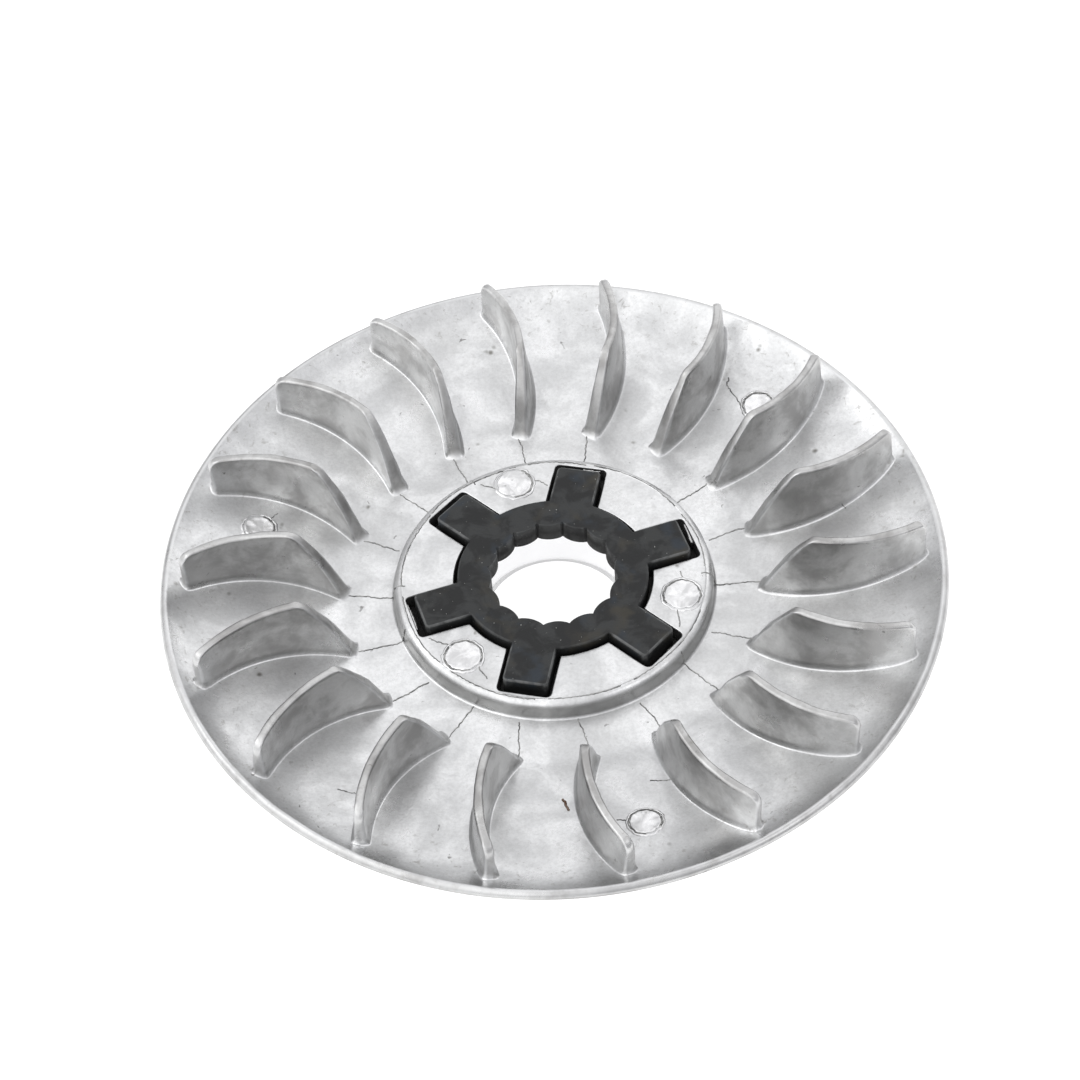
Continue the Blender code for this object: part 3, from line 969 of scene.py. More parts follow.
def star_outline(ring_radius, reach, width, corner, ring_steps=12):
    half = width / 2
    root = math.asin(half / ring_radius)
    gap = 2 * math.pi / ARM_COUNT - 2 * root
    parts = []
    for arm in range(ARM_COUNT):
        angle = ARM_PHASE + arm * 2 * math.pi / ARM_COUNT
        start = ring_radius * math.cos(root)
        out = np.linspace(start, reach - corner, 7)[1:-1]
        end = [(x, -half) for x in out]
        end += profile_arc((reach - corner, corner - half), corner, -90, 0, 4)
        end += [(reach, y) for y in np.linspace(corner - half, half - corner, 6)[1:-1]]
        end += profile_arc((reach - corner, half - corner), corner, 0, 90, 4)
        end += [(x, half) for x in out[::-1]]
        parts.append(turned_plan(end, angle))
        ring = angle + root + np.linspace(0, gap, ring_steps + 1)
        parts.append(polar_grid([ring_radius], ring))
    return np.concatenate(parts)


def inset(outline, distance):
    """An anticlockwise outline moved inwards."""
    before, after = np.roll(outline, 1, axis=0), np.roll(outline, -1, axis=0)
    first = outline - before
    second = after - outline
    first /= np.linalg.norm(first, axis=1)[:, None]
    second /= np.linalg.norm(second, axis=1)[:, None]
    normal = np.column_stack([-(first + second)[:, 1], (first + second)[:, 0]])
    normal /= np.linalg.norm(normal, axis=1)[:, None]
    turn = np.clip((normal * np.column_stack([-first[:, 1], first[:, 0]])).sum(axis=1), 0.6, 1.0)
    return outline + normal * (distance / turn)[:, None]


TOOTH_FLATNESS = 0.7


def spline_outline(steps=10):
    """The bore's outline: rounded teeth with narrow notches between them."""
    share = np.arange(steps) / steps
    rise = np.sin(math.pi * share) ** TOOTH_FLATNESS
    radius = SPLINE_NOTCH_RADIUS + (SPLINE_TOOTH_RADIUS - SPLINE_NOTCH_RADIUS) * rise
    pitch = 2 * math.pi / SPLINE_TEETH
    angles = SPLINE_PHASE + (np.arange(SPLINE_TEETH)[:, None] + share) * pitch
    radius = np.tile(radius, SPLINE_TEETH)
    return np.column_stack([radius * np.cos(angles.ravel()), radius * np.sin(angles.ravel())])


# %% Pocket and boss top
POCKET_EDGE_ROUND = 0.00022
TOP_GRID_STEP = 0.0008
CAST_FINISH, MACHINED_FINISH, POCKET_SHADE_FINISH = range(3)


def flat_grid(reach):
    """A square grid of plan points, swayed a little so that no row lies along an outline's edge."""
    steps = np.arange(-reach, reach, TOP_GRID_STEP)
    x, y = np.meshgrid(steps, steps)
    return np.stack([x + 0.3 * TOP_GRID_STEP * np.sin(y / 0.0021), y], axis=-1).reshape(-1, 2)


def at_height(plan, height):
    return np.column_stack([plan, np.full(len(plan), height)])


def make_boss(shell):
    star = star_outline(
        RING_RADIUS + POCKET_SIDE_GAP, ARM_REACH + POCKET_END_GAP,
        ARM_WIDTH + 2 * POCKET_SIDE_GAP, ARM_CORNER_ROUND,
    )
    bore = polar_grid([BORE_RADIUS], turn_angles)
    plan, faces = filled(star, bore, flat_grid(ARM_REACH), GRID_CLEARANCE)
    shell.add(at_height(plan, pocket_floor), faces, POCKET_SHADE_FINISH)
    wall = [at_height(star, pocket_floor), at_height(star, BOSS_TOP - POCKET_EDGE_ROUND)]
    edge = [wall[-1]]
    for i in range(1, 5):
        angle = math.radians(22.5 * i)
        grown = inset(star, -POCKET_EDGE_ROUND * (1 - math.cos(angle)))
        edge.append(at_height(grown, BOSS_TOP - POCKET_EDGE_ROUND * (1 - math.sin(angle))))
    shell.add_rows(wall, POCKET_SHADE_FINISH)
    shell.add_rows(edge, CAST_FINISH)
    rim = polar_grid([boss_profile[0][0]], turn_angles)
    plan, faces = filled(rim, edge[-1][:, :2], flat_grid(BOSS_RADIUS), GRID_CLEARANCE)
    shell.add(at_height(plan, BOSS_TOP), faces)
    shell.add_rows(circle_rows(boss_profile))


body_shell = Shell()
body_shell.add_rows(circle_rows(rim_profile))
body_shell.add_rows(circle_rows(belt_profile), MACHINED_FINISH)
make_boss(body_shell)
print("turned parts and boss:", len(body_shell.faces), "faces")

# %% [markdown]
# ## One skin
# The sectors, the turned parts and the boss share their edge points, so merging by distance makes them one
# closed skin, as the real casting is. Then small uneven moves give the straight surfaces the slight
# waviness of a casting. The same pass notes which points are ridges and which lie on a blade's wall, where
# the finish paints shade.

# %% Join and merge the casting
fan_sector = sector_shell.object("fan_sector", [cast_aluminium])
fan_sectors = apply_tree(
    fan_sector, ring_tree, {"Count": BLADE_COUNT, "First Angle": BLADE_PHASE, "Material": cast_aluminium}
)
casting = body_shell.object("fan_casting_skin", [cast_aluminium, machined_aluminium, pocket_shade])
MERGE_DISTANCE = 0.000003


def close_skin(piece, joined=()):
    """Merges a piece, and those joined to it, into one skin that faces outwards. Returns its open edges."""
    skin = bmesh.new()
    for part in (piece, *joined):
        skin.from_mesh(part.data)
    bmesh.ops.remove_doubles(skin, verts=skin.verts, dist=MERGE_DISTANCE)
    bmesh.ops.recalc_face_normals(skin, faces=skin.faces)
    open_edges = sum(1 for edge in skin.edges if len(edge.link_faces) != 2)
    skin.to_mesh(piece.data)
    skin.free()
    for part in joined:
        bpy.data.objects.remove(part, do_unlink=True)
    return open_edges


print("open edges in the casting:", close_skin(casting, [fan_sectors]))
casting.data.shade_smooth()


# %% Ridges, walls and unevenness
def mesh_arrays(mesh):
    points = np.empty(len(mesh.vertices) * 3)
    mesh.vertices.foreach_get("co", points)
    normals = np.empty(len(mesh.vertices) * 3)
    mesh.vertices.foreach_get("normal", normals)
    edges = np.empty(len(mesh.edges) * 2, int)
    mesh.edges.foreach_get("vertices", edges)
    return points.reshape(-1, 3), normals.reshape(-1, 3), edges.reshape(-1, 2)


def set_attribute(mesh, name, values):
    made = mesh.attributes.new(name, "FLOAT", "POINT")
    made.data.foreach_set("value", np.asarray(values, np.float32))


RIDGE_REACH = 0.0009
RIDGE_GAIN = 3.0
BROAD_WAVES = 260.0
FINE_WAVES = 1100.0
SHARP_ANGLE = math.radians(50)


def note_ridges(mesh):
    """Stores how far each point stands out from its neighbours, from 0 on a flat to 1 on a sharp ridge."""
    points, normals, edges = mesh_arrays(mesh)
    step = points[edges[:, 1]] - points[edges[:, 0]]
    length = np.linalg.norm(step, axis=1)
    near = length < RIDGE_REACH
    edges, step, length = edges[near], step[near], length[near]
    out = np.zeros(len(points))
    count = np.zeros(len(points))
    for here, way in ((0, -1), (1, 1)):
        lean = way * (normals[edges[:, here]] * step).sum(axis=1) / length
        np.add.at(out, edges[:, here], lean)
        np.add.at(count, edges[:, here], 1)
    ridge = np.clip(out / np.maximum(count, 1) * RIDGE_GAIN, 0, 1)
    set_attribute(mesh, "ridge", ridge)
    return ridge


def smooth_step(values, low, high):
    share = np.clip((values - low) / (high - low), 0, 1)
    return share * share * (3 - 2 * share)


def roughen(mesh, broad, fine, mask):
    """Moves points along their normals by two sizes of noise, in metres."""
    points, normals, _ = mesh_arrays(mesh)
    moves = np.array([
        broad * noise.noise(Vector(p) * BROAD_WAVES) + fine * noise.noise(Vector(p) * FINE_WAVES)
        for p in points
    ])
    points += normals * (moves * mask)[:, None]
    mesh.vertices.foreach_set("co", points.ravel())
    mesh.update()


# %% Painted shade on the casting's walls and rim, and grime near the rim
TIP_BAND = (0.046, 0.054)
TIP_SHADE_FADE = 0.35
RIM_BAND = (0.0552, 0.0560)
GRIME_BAND = (0.042, 0.054)
CAST_BROAD_MOVE = 0.00005
CAST_FINE_MOVE = 0.000022
EDGE_LUMPS = 2.2

skin_points, _, _ = mesh_arrays(casting.data)
skin_radii = np.linalg.norm(skin_points[:, :2], axis=1)
above_face = skin_points[:, 2] - fan_face_height(np.maximum(skin_radii, BOSS_FOOT))
on_fan_side = skin_points[:, 2] > fan_face_height(skin_radii) - 0.0004
on_fan_side &= skin_radii < OUTER_RADIUS - 0.0003
outside_boss = smooth_step(skin_radii, BOSS_FOOT + 0.002, BOSS_FOOT + 0.003)
ridge_values = note_ridges(casting.data)
# The boss wall is painted as shade as well, from its edge down to its fillet.
boss_wall_shade = smooth_step(skin_radii, BOSS_RADIUS - 0.0003, BOSS_RADIUS) * (1 - outside_boss)
boss_wall_shade *= smooth_step(skin_points[:, 2], boss_floor + 0.0001, boss_floor + 0.0005)
# Blade walls are painted darker as shade, with less of it towards the blade tips.
blade_wall_shade = smooth_step(above_face, 0.0001, 0.0008) * outside_boss
blade_wall_shade *= 1 - TIP_SHADE_FADE * smooth_step(skin_radii, *TIP_BAND)
# The rim band gets the walls' painted shade.
rim_band_shade = smooth_step(skin_radii, *RIM_BAND)
set_attribute(casting.data, "blade_wall_shade", np.maximum(blade_wall_shade, np.maximum(boss_wall_shade, rim_band_shade)))
set_attribute(casting.data, "boss_wall_shade", boss_wall_shade)
set_attribute(casting.data, "rim_grime", smooth_step(skin_radii, *GRIME_BAND))
edge_wobble = 1 + EDGE_LUMPS * blade_wall_shade * smooth_step(ridge_values, 0.1, 0.3)
roughen(casting.data, CAST_BROAD_MOVE, CAST_FINE_MOVE, on_fan_side * edge_wobble)
casting.data.set_sharp_from_angle(angle=SHARP_ANGLE)
print("casting points:", len(skin_points), "ridge points:", int((ridge_values > 0.3).sum()))

# %% [markdown]
# ## The insert
# A steel plate, blanked and hardened, with six arms that lock it in the casting and a spline for the shaft.
# It is built as two walls, outside and bore, with rolled top edges, closed by a top and a bottom.

# %% Splined insert
INSERT_EDGE_ROUND = 0.00032
SPLINE_EDGE_ROUND = 0.00018
DEEP_SHADE = 0.85


def rolled_wall(outline, round_size, inwards):
    """Rows of a wall from the plate's bottom up and over a rolled top edge."""
    rows = [at_height(outline, INSERT_TOP - INSERT_THICKNESS)]
    rows.append(at_height(outline, INSERT_TOP - INSERT_THICKNESS / 2))
    for i in range(6):
        angle = math.radians(18 * i)
        moved = inset(outline, inwards * round_size * (1 - math.cos(angle)))
        rows.append(at_height(moved, INSERT_TOP - round_size * (1 - math.sin(angle))))
    return rows


def make_insert():
    shell = Shell()
    star = star_outline(RING_RADIUS, ARM_REACH, ARM_WIDTH, ARM_CORNER_ROUND)
    outside = rolled_wall(star, INSERT_EDGE_ROUND, 1)
    bore = rolled_wall(spline_outline(), SPLINE_EDGE_ROUND, -1)
    shell.add_rows(outside)
    shell.add_rows(bore)
    for row in (0, -1):
        plan, faces = filled(outside[row][:, :2], bore[row][:, :2], flat_grid(ARM_REACH), GRID_CLEARANCE)
        shell.add(at_height(plan, outside[row][0, 2]), faces)
    made = shell.object("splined_insert_skin", [dark_steel])
    print("open edges in the insert:", close_skin(made))
    return made


insert = make_insert()
note_ridges(insert.data)
insert_points, _, _ = mesh_arrays(insert.data)
upper = insert_points[:, 2] > INSERT_TOP - 0.0006
# The insert is painted near black below its top edge, as shade in the bore and pocket.
below_top = smooth_step(INSERT_TOP - insert_points[:, 2], 0.0003, 0.0012)
set_attribute(insert.data, "insert_depth_shade", DEEP_SHADE * below_top)
roughen(insert.data, broad=0.00003, fine=0.00001, mask=upper.astype(float))
insert.data.set_sharp_from_angle(angle=SHARP_ANGLE)
print("insert points:", len(insert_points))

# %% [markdown]
# ## Ejector marks
# Pins push the casting out of its die, and each leaves a round mark with a ragged burr: three on the boss
# between the arms and three on the disc. One mark is turned up as rows whose outline is a little ragged,
# set on the surface at angle zero, and the ring tree makes the three. Noise then moves their points, so
# that no two are the same.

# %% One mark
MARK_POINTS = 72
MARK_DEPTH = 0.0003
MARK_RAGGEDNESS = ((3, 0.018), (7, 0.016), (12, 0.014), (19, 0.010))


def mark_rows(profile):
    """Rows of a turned profile whose outline is ragged, as a sum of waves round it."""
    angles = np.arange(MARK_POINTS) * 2 * math.pi / MARK_POINTS
    ragged = 1 + sum(share * np.sin(waves * angles + waves) for waves, share in MARK_RAGGEDNESS)
    rows = []
    for radius, height in profile:
        plan = polar_grid([radius], angles) * ragged[:, None]
        rows.append(np.column_stack([plan, np.full(MARK_POINTS, height)]))
    return rows


def closed_by_caps(shell, rows, finish=0):
    """Rows with a flat cap on the first and the last of them."""
    shell.add_rows(rows, finish)
    count = len(rows[0])
    shell.add(rows[0], [tuple(range(count))[::-1]], finish)
    shell.add(rows[-1], [tuple(range(count))], finish)


def make_mark(name, radius, place, tilt):
    """The mark's disc and its burr, as two closed bodies, set on the surface in the plane of angle zero."""
    mark = Shell()
    disc = [(radius - 0.00024, -MARK_DEPTH), (radius - 0.00024, 0.00004), (radius - 0.0003, 0.00013)]
    disc += [(radius - 0.00042, 0.00016), (radius - 0.0006, 0.0001)]
    disc += [(radius * 0.5, 0.00008), (radius * 0.2, 0.00008)]
    closed_by_caps(mark, mark_rows(disc))
    burr = [(-0.00006, -MARK_DEPTH), (-0.00004, 0.00006), (0.00003, 0.00013), (0.00012, 0.00014)]
    burr += [(0.00024, 0.00007), (0.00036, -0.00004), (0.00036, -MARK_DEPTH)]
    rows = mark_rows([(radius + r, h) for r, h in burr])
    mark.add_rows(rows + [rows[0]])
    turn = Matrix.Rotation(tilt, 4, "Y")
    move = Matrix.Translation(place) @ turn
    mark.points = [np.array([move @ Vector(point) for point in part]) for part in mark.points]
    return mark.object(name, [pressed_aluminium])


# %% Three marks on the boss, three on the disc
MARKS_IN_A_RING = 3
BOSS_MARK_RADIUS, BOSS_MARK_FROM, BOSS_MARK_SIZE = 0.0189, math.radians(104.5), 0.0028
DISC_MARK_RADIUS, DISC_MARK_FROM, DISC_MARK_SIZE = 0.0447, math.radians(42.9), 0.0024
thinning = (WALL_AT_RIM - WALL_AT_FLOOR) / (blade_outer_radius - FLOOR_RADIUS)
cone_tilt = -math.atan(math.tan(BELT_FACE_ANGLE) + thinning)
boss_place = (BOSS_MARK_RADIUS, 0.0, BOSS_TOP)
disc_place = (DISC_MARK_RADIUS, 0.0, float(fan_face_height(DISC_MARK_RADIUS)))
marks = []
for name, size, place, tilt, first in (
    ("boss_ejector_marks", BOSS_MARK_SIZE, boss_place, 0.0, BOSS_MARK_FROM),
    ("disc_ejector_marks", DISC_MARK_SIZE, disc_place, cone_tilt, DISC_MARK_FROM),
):
    one = make_mark(name, size, place, tilt)
    values = {"Count": MARKS_IN_A_RING, "First Angle": first, "Material": pressed_aluminium}
    made = apply_tree(one, ring_tree, values)
    print(name, "open edges:", close_skin(made))
    note_ridges(made.data)
    roughen(made.data, broad=0.00007, fine=0.00009, mask=np.ones(len(made.data.vertices)))
    marks.append(made)

# %% [markdown]
# ## Hairlines
# An old die cracks, and every crack casts a hairline of metal, most of them from the foot of a blade to the
# boss. Each is a thin thread that follows the surface, half sunk in it. Dark broken seams run round the
# ejector marks and the boss in the same way; the threads' dark grey is painted shade along the raised lines
# and in the grooves round the marks. Only the routes are planned here, as chains of points. A Geometry
# Nodes tree resamples a chain, shakes it, varies its thickness and gives it a round section, so one tree
# makes every thread, with a fixed seed.

# %% Geometry Nodes tree: thread along a route
THREAD_THICKNESS_SHARES = (0.3, 1.6)
THREAD_SIDES = 6


def make_thread_tree():
    tree, given, result = new_tree(
        "thread_on_route",
        [
            ("Radius", "Float"), ("Shake", "Float"), ("Step", "Float"),
            ("Seed", "Int"), ("Material", "Material"),
        ],
    )
    curve = tree.nodes.new("GeometryNodeMeshToCurve")
    even = tree.nodes.new("GeometryNodeResampleCurve")
    even.mode = "LENGTH"
    shaken = tree.nodes.new("GeometryNodeSetPosition")
    offset = tree.nodes.new("FunctionNodeRandomValue")
    offset.data_type = "FLOAT_VECTOR"
    offset.inputs[0].default_value = (-1.0, -1.0, -0.25)
    offset.inputs[1].default_value = (1.0, 1.0, 0.25)
    scaled = tree.nodes.new("ShaderNodeVectorMath")
    scaled.operation = "SCALE"
    thickness = tree.nodes.new("GeometryNodeSetCurveRadius")
    vary = tree.nodes.new("FunctionNodeRandomValue")
    vary.data_type = "FLOAT"
    vary.inputs[2].default_value, vary.inputs[3].default_value = THREAD_THICKNESS_SHARES
    section = tree.nodes.new("GeometryNodeCurvePrimitiveCircle")
    section.inputs["Resolution"].default_value = THREAD_SIDES
    tube = tree.nodes.new("GeometryNodeCurveToMesh")
    tube.inputs["Fill Caps"].default_value = True
    real = tree.nodes.new("GeometryNodeRealizeInstances")
    painted = tree.nodes.new("GeometryNodeSetMaterial")
    tree.links.new(given.outputs["Geometry"], curve.inputs["Mesh"])
    tree.links.new(curve.outputs[0], even.inputs["Curve"])
    tree.links.new(given.outputs["Step"], even.inputs["Length"])
    tree.links.new(even.outputs[0], shaken.inputs["Geometry"])
    tree.links.new(given.outputs["Seed"], offset.inputs["Seed"])
    tree.links.new(offset.outputs[0], scaled.inputs[0])
    tree.links.new(given.outputs["Shake"], scaled.inputs["Scale"])
    tree.links.new(scaled.outputs[0], shaken.inputs["Offset"])
    tree.links.new(shaken.outputs[0], thickness.inputs["Curve"])
    tree.links.new(given.outputs["Seed"], vary.inputs["Seed"])
    tree.links.new(vary.outputs[1], thickness.inputs["Radius"])
    tree.links.new(given.outputs["Radius"], section.inputs["Radius"])
    tree.links.new(thickness.outputs[0], tube.inputs["Curve"])
    tree.links.new(section.outputs[0], tube.inputs["Profile Curve"])
    tree.links.new(tube.outputs[0], real.inputs[0])
    tree.links.new(real.outputs[0], painted.inputs["Geometry"])
    tree.links.new(given.outputs["Material"], painted.inputs["Material"])
    tree.links.new(painted.outputs[0], result.inputs["Geometry"])
    return tree


thread_tree = make_thread_tree()

# %% Routes on the surface
THREAD_STEP = 0.00028
boss_radii = np.array([radius for radius, _ in boss_profile])
boss_heights = np.array([height for _, height in boss_profile])


def skin_height(radius):
    if radius < BOSS_FOOT:
        return float(np.interp(radius, boss_radii, boss_heights))
    return float(fan_face_height(radius))


def wander(dice, start, end, sway, steps=14):
    """Plan points from start to end, each (radius, angle in radians), which sway sideways on the way."""
    shares = np.linspace(0, 1, steps + 1)
    radii = start[0] + (end[0] - start[0]) * shares
    angles = start[1] + (end[1] - start[1]) * shares
    drift = sum(dice.uniform(-1, 1) / k * np.sin(math.pi * k * shares) for k in (1, 2, 3, 5, 7))
    return radii, angles + sway * drift / np.maximum(radii, 0.001)


def on_skin(radii, angles, steps=60):
    """The route as points in space, close enough together to climb the boss."""
    even = np.linspace(0, 1, steps + 1)
    radii = np.interp(even, np.linspace(0, 1, len(radii)), radii)
    angles = np.interp(even, np.linspace(0, 1, len(angles)), angles)
    return [(r * math.cos(a), r * math.sin(a), skin_height(r)) for r, a in zip(radii, angles)]


def make_threads(name, routes, material, radius, shake, seed):
    points, edges = [], []
    for route in routes:
        edges += [(len(points) + i, len(points) + i + 1) for i in range(len(route) - 1)]
        points += route
    mesh = bpy.data.meshes.new(name)
    mesh.from_pydata(points, edges, [])
    thing = bpy.data.objects.new(name, mesh)
    bpy.context.scene.collection.objects.link(thing)
    values = {"Radius": radius, "Shake": shake, "Step": THREAD_STEP, "Seed": seed, "Material": material}
    made = apply_tree(thing, thread_tree, values)
    print(name, "routes:", len(routes), "open edges:", close_skin(made))
    return made


# %% Hairlines from the blades to the boss
LINE_ENDS = (0.0242, 0.0242, 0.0236, 0.0228, 0.0214)
MISSING_SHARE = 0.1
SHORT_TICKS = ((6, 0.0472, 0.0480), (8, 0.0452, 0.0470), (11, 0.0390, 0.0376))
hair_dice = random.Random(7)
hairlines = []
for blade in range(BLADE_COUNT):
    angle = BLADE_PHASE + blade * 2 * math.pi / BLADE_COUNT
    if hair_dice.random() < MISSING_SHARE:
        continue
    inner = hair_dice.choice(LINE_ENDS)
    lean = math.radians(hair_dice.uniform(-2.5, 2.5))
    start = (BLADE_INNER_RADIUS - 0.0003, angle)
    hairlines.append(on_skin(*wander(hair_dice, start, (inner, angle + lean), sway=0.00022)))
blade_points = arc_centre + arc_radius * arc_axes(probe_turns)[0]
probe_angles = np.arctan2(blade_points[:, 1], blade_points[:, 0])
for blade, start, end in SHORT_TICKS:
    on_blade = float(np.interp(start, probe_radii, probe_angles))
    angle = BLADE_PHASE + blade * 2 * math.pi / BLADE_COUNT + on_blade
    tick = wander(hair_dice, (start, angle - 0.03), (end, angle - 0.11), sway=0.0002)
    hairlines.append(on_skin(*tick))
for mark in range(MARKS_IN_A_RING):
    angle = BOSS_MARK_FROM + mark * 2 * math.pi / MARKS_IN_A_RING
    for side in (-1, 1):
        far = angle + side * math.radians(hair_dice.uniform(13, 17))
        near = angle + side * BOSS_MARK_SIZE / BOSS_MARK_RADIUS
        end = (hair_dice.uniform(0.0172, 0.0212), far)
        hairlines.append(on_skin(*wander(hair_dice, (BOSS_MARK_RADIUS, near), end, sway=0.0003)))

# %% Lines on the disc and seams round the marks
crack = wander(hair_dice, (0.0463, math.radians(51.5)), (0.0425, math.radians(43.8)), sway=0.0010)
hairlines.append(on_skin(*crack))
for mark in range(MARKS_IN_A_RING):
    angle = DISC_MARK_FROM + mark * 2 * math.pi / MARKS_IN_A_RING
    start = (DISC_MARK_RADIUS - 0.001, angle - DISC_MARK_SIZE / DISC_MARK_RADIUS)
    end = (DISC_MARK_RADIUS - 0.0016, start[1] - 0.03)
    hairlines.append(on_skin(*wander(hair_dice, start, end, sway=0.0003)))
SEAM_LIFT = 0.00006
SEAM_INSET = 0.00012
mark_seams = []
for centre_radius, first, size in (
    (BOSS_MARK_RADIUS, BOSS_MARK_FROM, BOSS_MARK_SIZE), (DISC_MARK_RADIUS, DISC_MARK_FROM, DISC_MARK_SIZE)
):
    for mark in range(MARKS_IN_A_RING):
        angle = first + mark * 2 * math.pi / MARKS_IN_A_RING
        middle = centre_radius * np.array([math.cos(angle), math.sin(angle)])
        long_seam = (hair_dice.uniform(0, 6), hair_dice.uniform(2.2, 3.4))
        short_seam = (hair_dice.uniform(0, 6), 2.6)
        for begin, span in (long_seam, short_seam):
            turns = np.linspace(begin, begin + span, 40)
            seam = middle + polar_grid([size - SEAM_INSET], turns)
            mark_seams.append([(x, y, skin_height(math.hypot(x, y)) + SEAM_LIFT) for x, y in seam])

# %% Parting line round the boss, and the threads
part_edges = []
turned_so_far = 0.0
while turned_so_far < 2 * math.pi - 0.5:
    length = hair_dice.uniform(0.15, 0.75)
    ring_radius = part_line + hair_dice.uniform(-0.00008, 0.00005)
    start, end = (ring_radius, turned_so_far), (ring_radius, turned_so_far + length)
    radii, angles = wander(hair_dice, start, end, sway=0.0)
    radii = radii + 0.00008 * np.sin(9 * angles)
    part_edges.append(on_skin(radii, angles, 90))
    turned_so_far += length + hair_dice.uniform(0.02, 0.16)
hair_threads = make_threads("hairlines", hairlines, thread_shade, radius=0.0001, shake=0.00008, seed=11)
seam_threads = make_threads("mark_seams", mark_seams, thread_shade, radius=0.00012, shake=0.00008, seed=23)
part_threads = make_threads("parting_line", part_edges, thread_shade, radius=0.00009, shake=0.00006, seed=5)
scratch_start, scratch_end = (0.0380, math.radians(-91.4)), (0.0402, math.radians(-90.2))
scratch_route = on_skin(*wander(hair_dice, scratch_start, scratch_end, sway=0.0002))
scratch = make_threads("brown_scratch", [scratch_route], brown_stain, radius=0.00019, shake=0.00007, seed=3)

# %% [markdown]
# ## Flash at the arms' ends
# Metal that crept past the insert during casting stands as thin slivers in the gaps at some arm ends. Each
# is a strip along the pocket's end wall, with a ragged top, made as rows across its length.

# %% Slivers of flash
SLIVERS = ((0, -0.2, 1.0, 0.0005), (1, -0.9, -0.1, 0.0003), (3, -0.9, 0.6, 0.0005), (5, 0.1, 1.0, 0.0004))
SLIVER_HEIGHT = 0.0012


def make_flash():
    """A sliver for each arm number, start and end across the arm, and thickness."""
    dice = random.Random(19)
    shell = Shell()
    end_wall = ARM_REACH + POCKET_END_GAP
    half = ARM_WIDTH / 2 + POCKET_SIDE_GAP - ARM_CORNER_ROUND
    for arm, start, end, thick in SLIVERS:
        rows = []
        for share in np.linspace(start, end, 12):
            across = share * half
            top = BOSS_TOP - 0.0003 - dice.uniform(0.0, 0.00025)
            inner = end_wall - thick * (1 - 0.6 * abs(share)) * dice.uniform(0.8, 1.1)
            outer = end_wall + 0.0002
            foot = top - SLIVER_HEIGHT
            corners = [(outer, top), (inner + 0.00008, top), (inner, top - 0.0002)]
            corners += [(inner, foot), (outer, foot)]
            angle = ARM_PHASE + arm * 2 * math.pi / ARM_COUNT
            plan = turned_plan([(x, across) for x, _ in corners], angle)
            rows.append(np.column_stack([plan, [z for _, z in corners]]))
        closed_by_caps(shell, rows)
    made = shell.object("pocket_flash", [cast_aluminium])
    print("flash open edges:", close_skin(made))
    # The slivers get most of the blade walls' painted shade, since they stand in the pocket's gap.
    set_attribute(made.data, "blade_wall_shade", np.full(len(made.data.vertices), 0.8))
    return made


flash = make_flash()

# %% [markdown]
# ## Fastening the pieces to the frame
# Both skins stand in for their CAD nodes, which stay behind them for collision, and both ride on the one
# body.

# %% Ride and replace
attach(casting, "root")
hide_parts("fan_casting")
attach(insert, "root")
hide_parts("splined_insert")
for piece in [*marks, hair_threads, seam_threads, part_threads, scratch, flash]:
    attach(piece, "root")

# %% [markdown]
# ## Studio
# The floor is white and gives off a little light of its own, as a lit table does, so the shadow stays
# faint. A broad pale sky and two soft panels light the metal. The sky is brighter overhead than at the
# horizon, and two opposite corners of it are brighter than the other two, so the blades have light and dark
# to reflect.

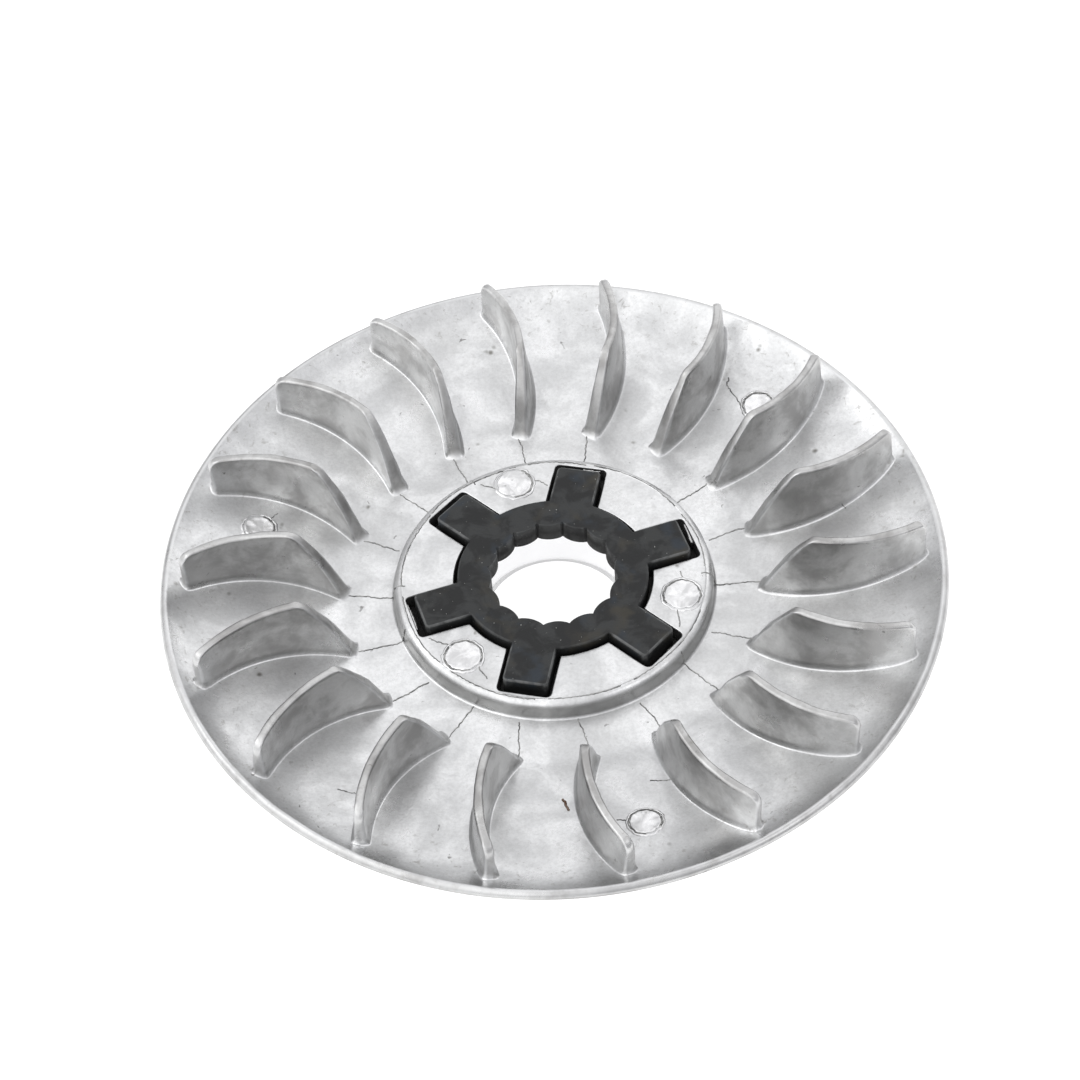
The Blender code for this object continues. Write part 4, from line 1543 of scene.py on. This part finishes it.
# %% Floor
FLOOR_REACH = 3.0
floor_mesh = bpy.data.meshes.new("studio_floor")
corners = [(-FLOOR_REACH, -FLOOR_REACH, 0), (FLOOR_REACH, -FLOOR_REACH, 0)]
corners += [(FLOOR_REACH, FLOOR_REACH, 0), (-FLOOR_REACH, FLOOR_REACH, 0)]
floor_mesh.from_pydata(corners, [], [(0, 1, 2, 3)])
floor = bpy.data.objects.new("studio_floor", floor_mesh)
bpy.context.scene.collection.objects.link(floor)
floor_white, _, floor_shader = new_material("floor_white", Roughness=1.0)
floor_shader.inputs["Base Color"].default_value = (0.35, 0.35, 0.35, 1.0)
floor_shader.inputs["Emission Color"].default_value = (1.0, 1.0, 1.0, 1.0)
floor_shader.inputs["Emission Strength"].default_value = 0.85
floor_mesh.materials.append(floor_white)

# %% Sky and lights
world = bpy.data.worlds.new("studio_sky")
bpy.context.scene.world = world
world.use_nodes = True
sky_tree = world.node_tree
sky = sky_tree.nodes["Background"]
direction = sky_tree.nodes.new("ShaderNodeTexCoord")
parts = put(sky_tree, "ShaderNodeSeparateXYZ", Vector=direction.outputs["Generated"])
upward = remap(sky_tree, parts.outputs["Z"], low=0.0, high=0.8)
sky_height = mixed(sky_tree, upward, (0.76, 0.76, 0.77, 1.0), (1.26, 1.26, 1.265, 1.0))
ahead = math_node(sky_tree, "SUBTRACT", parts.outputs["Y"], 0.45)
corner = remap(sky_tree, math_node(sky_tree, "MULTIPLY", parts.outputs["X"], ahead), low=-0.22, high=0.22)
sky_side = mixed(sky_tree, corner, (0.64, 0.64, 0.65, 1.0), (1.28, 1.28, 1.28, 1.0))
sky_tree.links.new(mixed(sky_tree, 1.0, sky_height, sky_side, "MULTIPLY"), sky.inputs["Color"])


def soft_panel(name, place, size, power):
    data = bpy.data.lights.new(name, "AREA")
    data.shape = "RECTANGLE"
    data.size = size[0]
    data.size_y = size[1]
    data.energy = power
    made = bpy.data.objects.new(name, data)
    made.location = place
    made.rotation_mode = "QUATERNION"
    made.rotation_quaternion = (Vector((0, 0, 0.01)) - Vector(place)).to_track_quat("-Z", "Y")
    bpy.context.scene.collection.objects.link(made)


soft_panel("key_panel", place=(-0.55, 0.10, 0.60), size=(0.35, 0.35), power=0.3)
soft_panel("fill_panel", place=(0.45, -0.25, 0.60), size=(0.40, 0.40), power=0.35)
bpy.context.scene.view_settings.view_transform = "Standard"
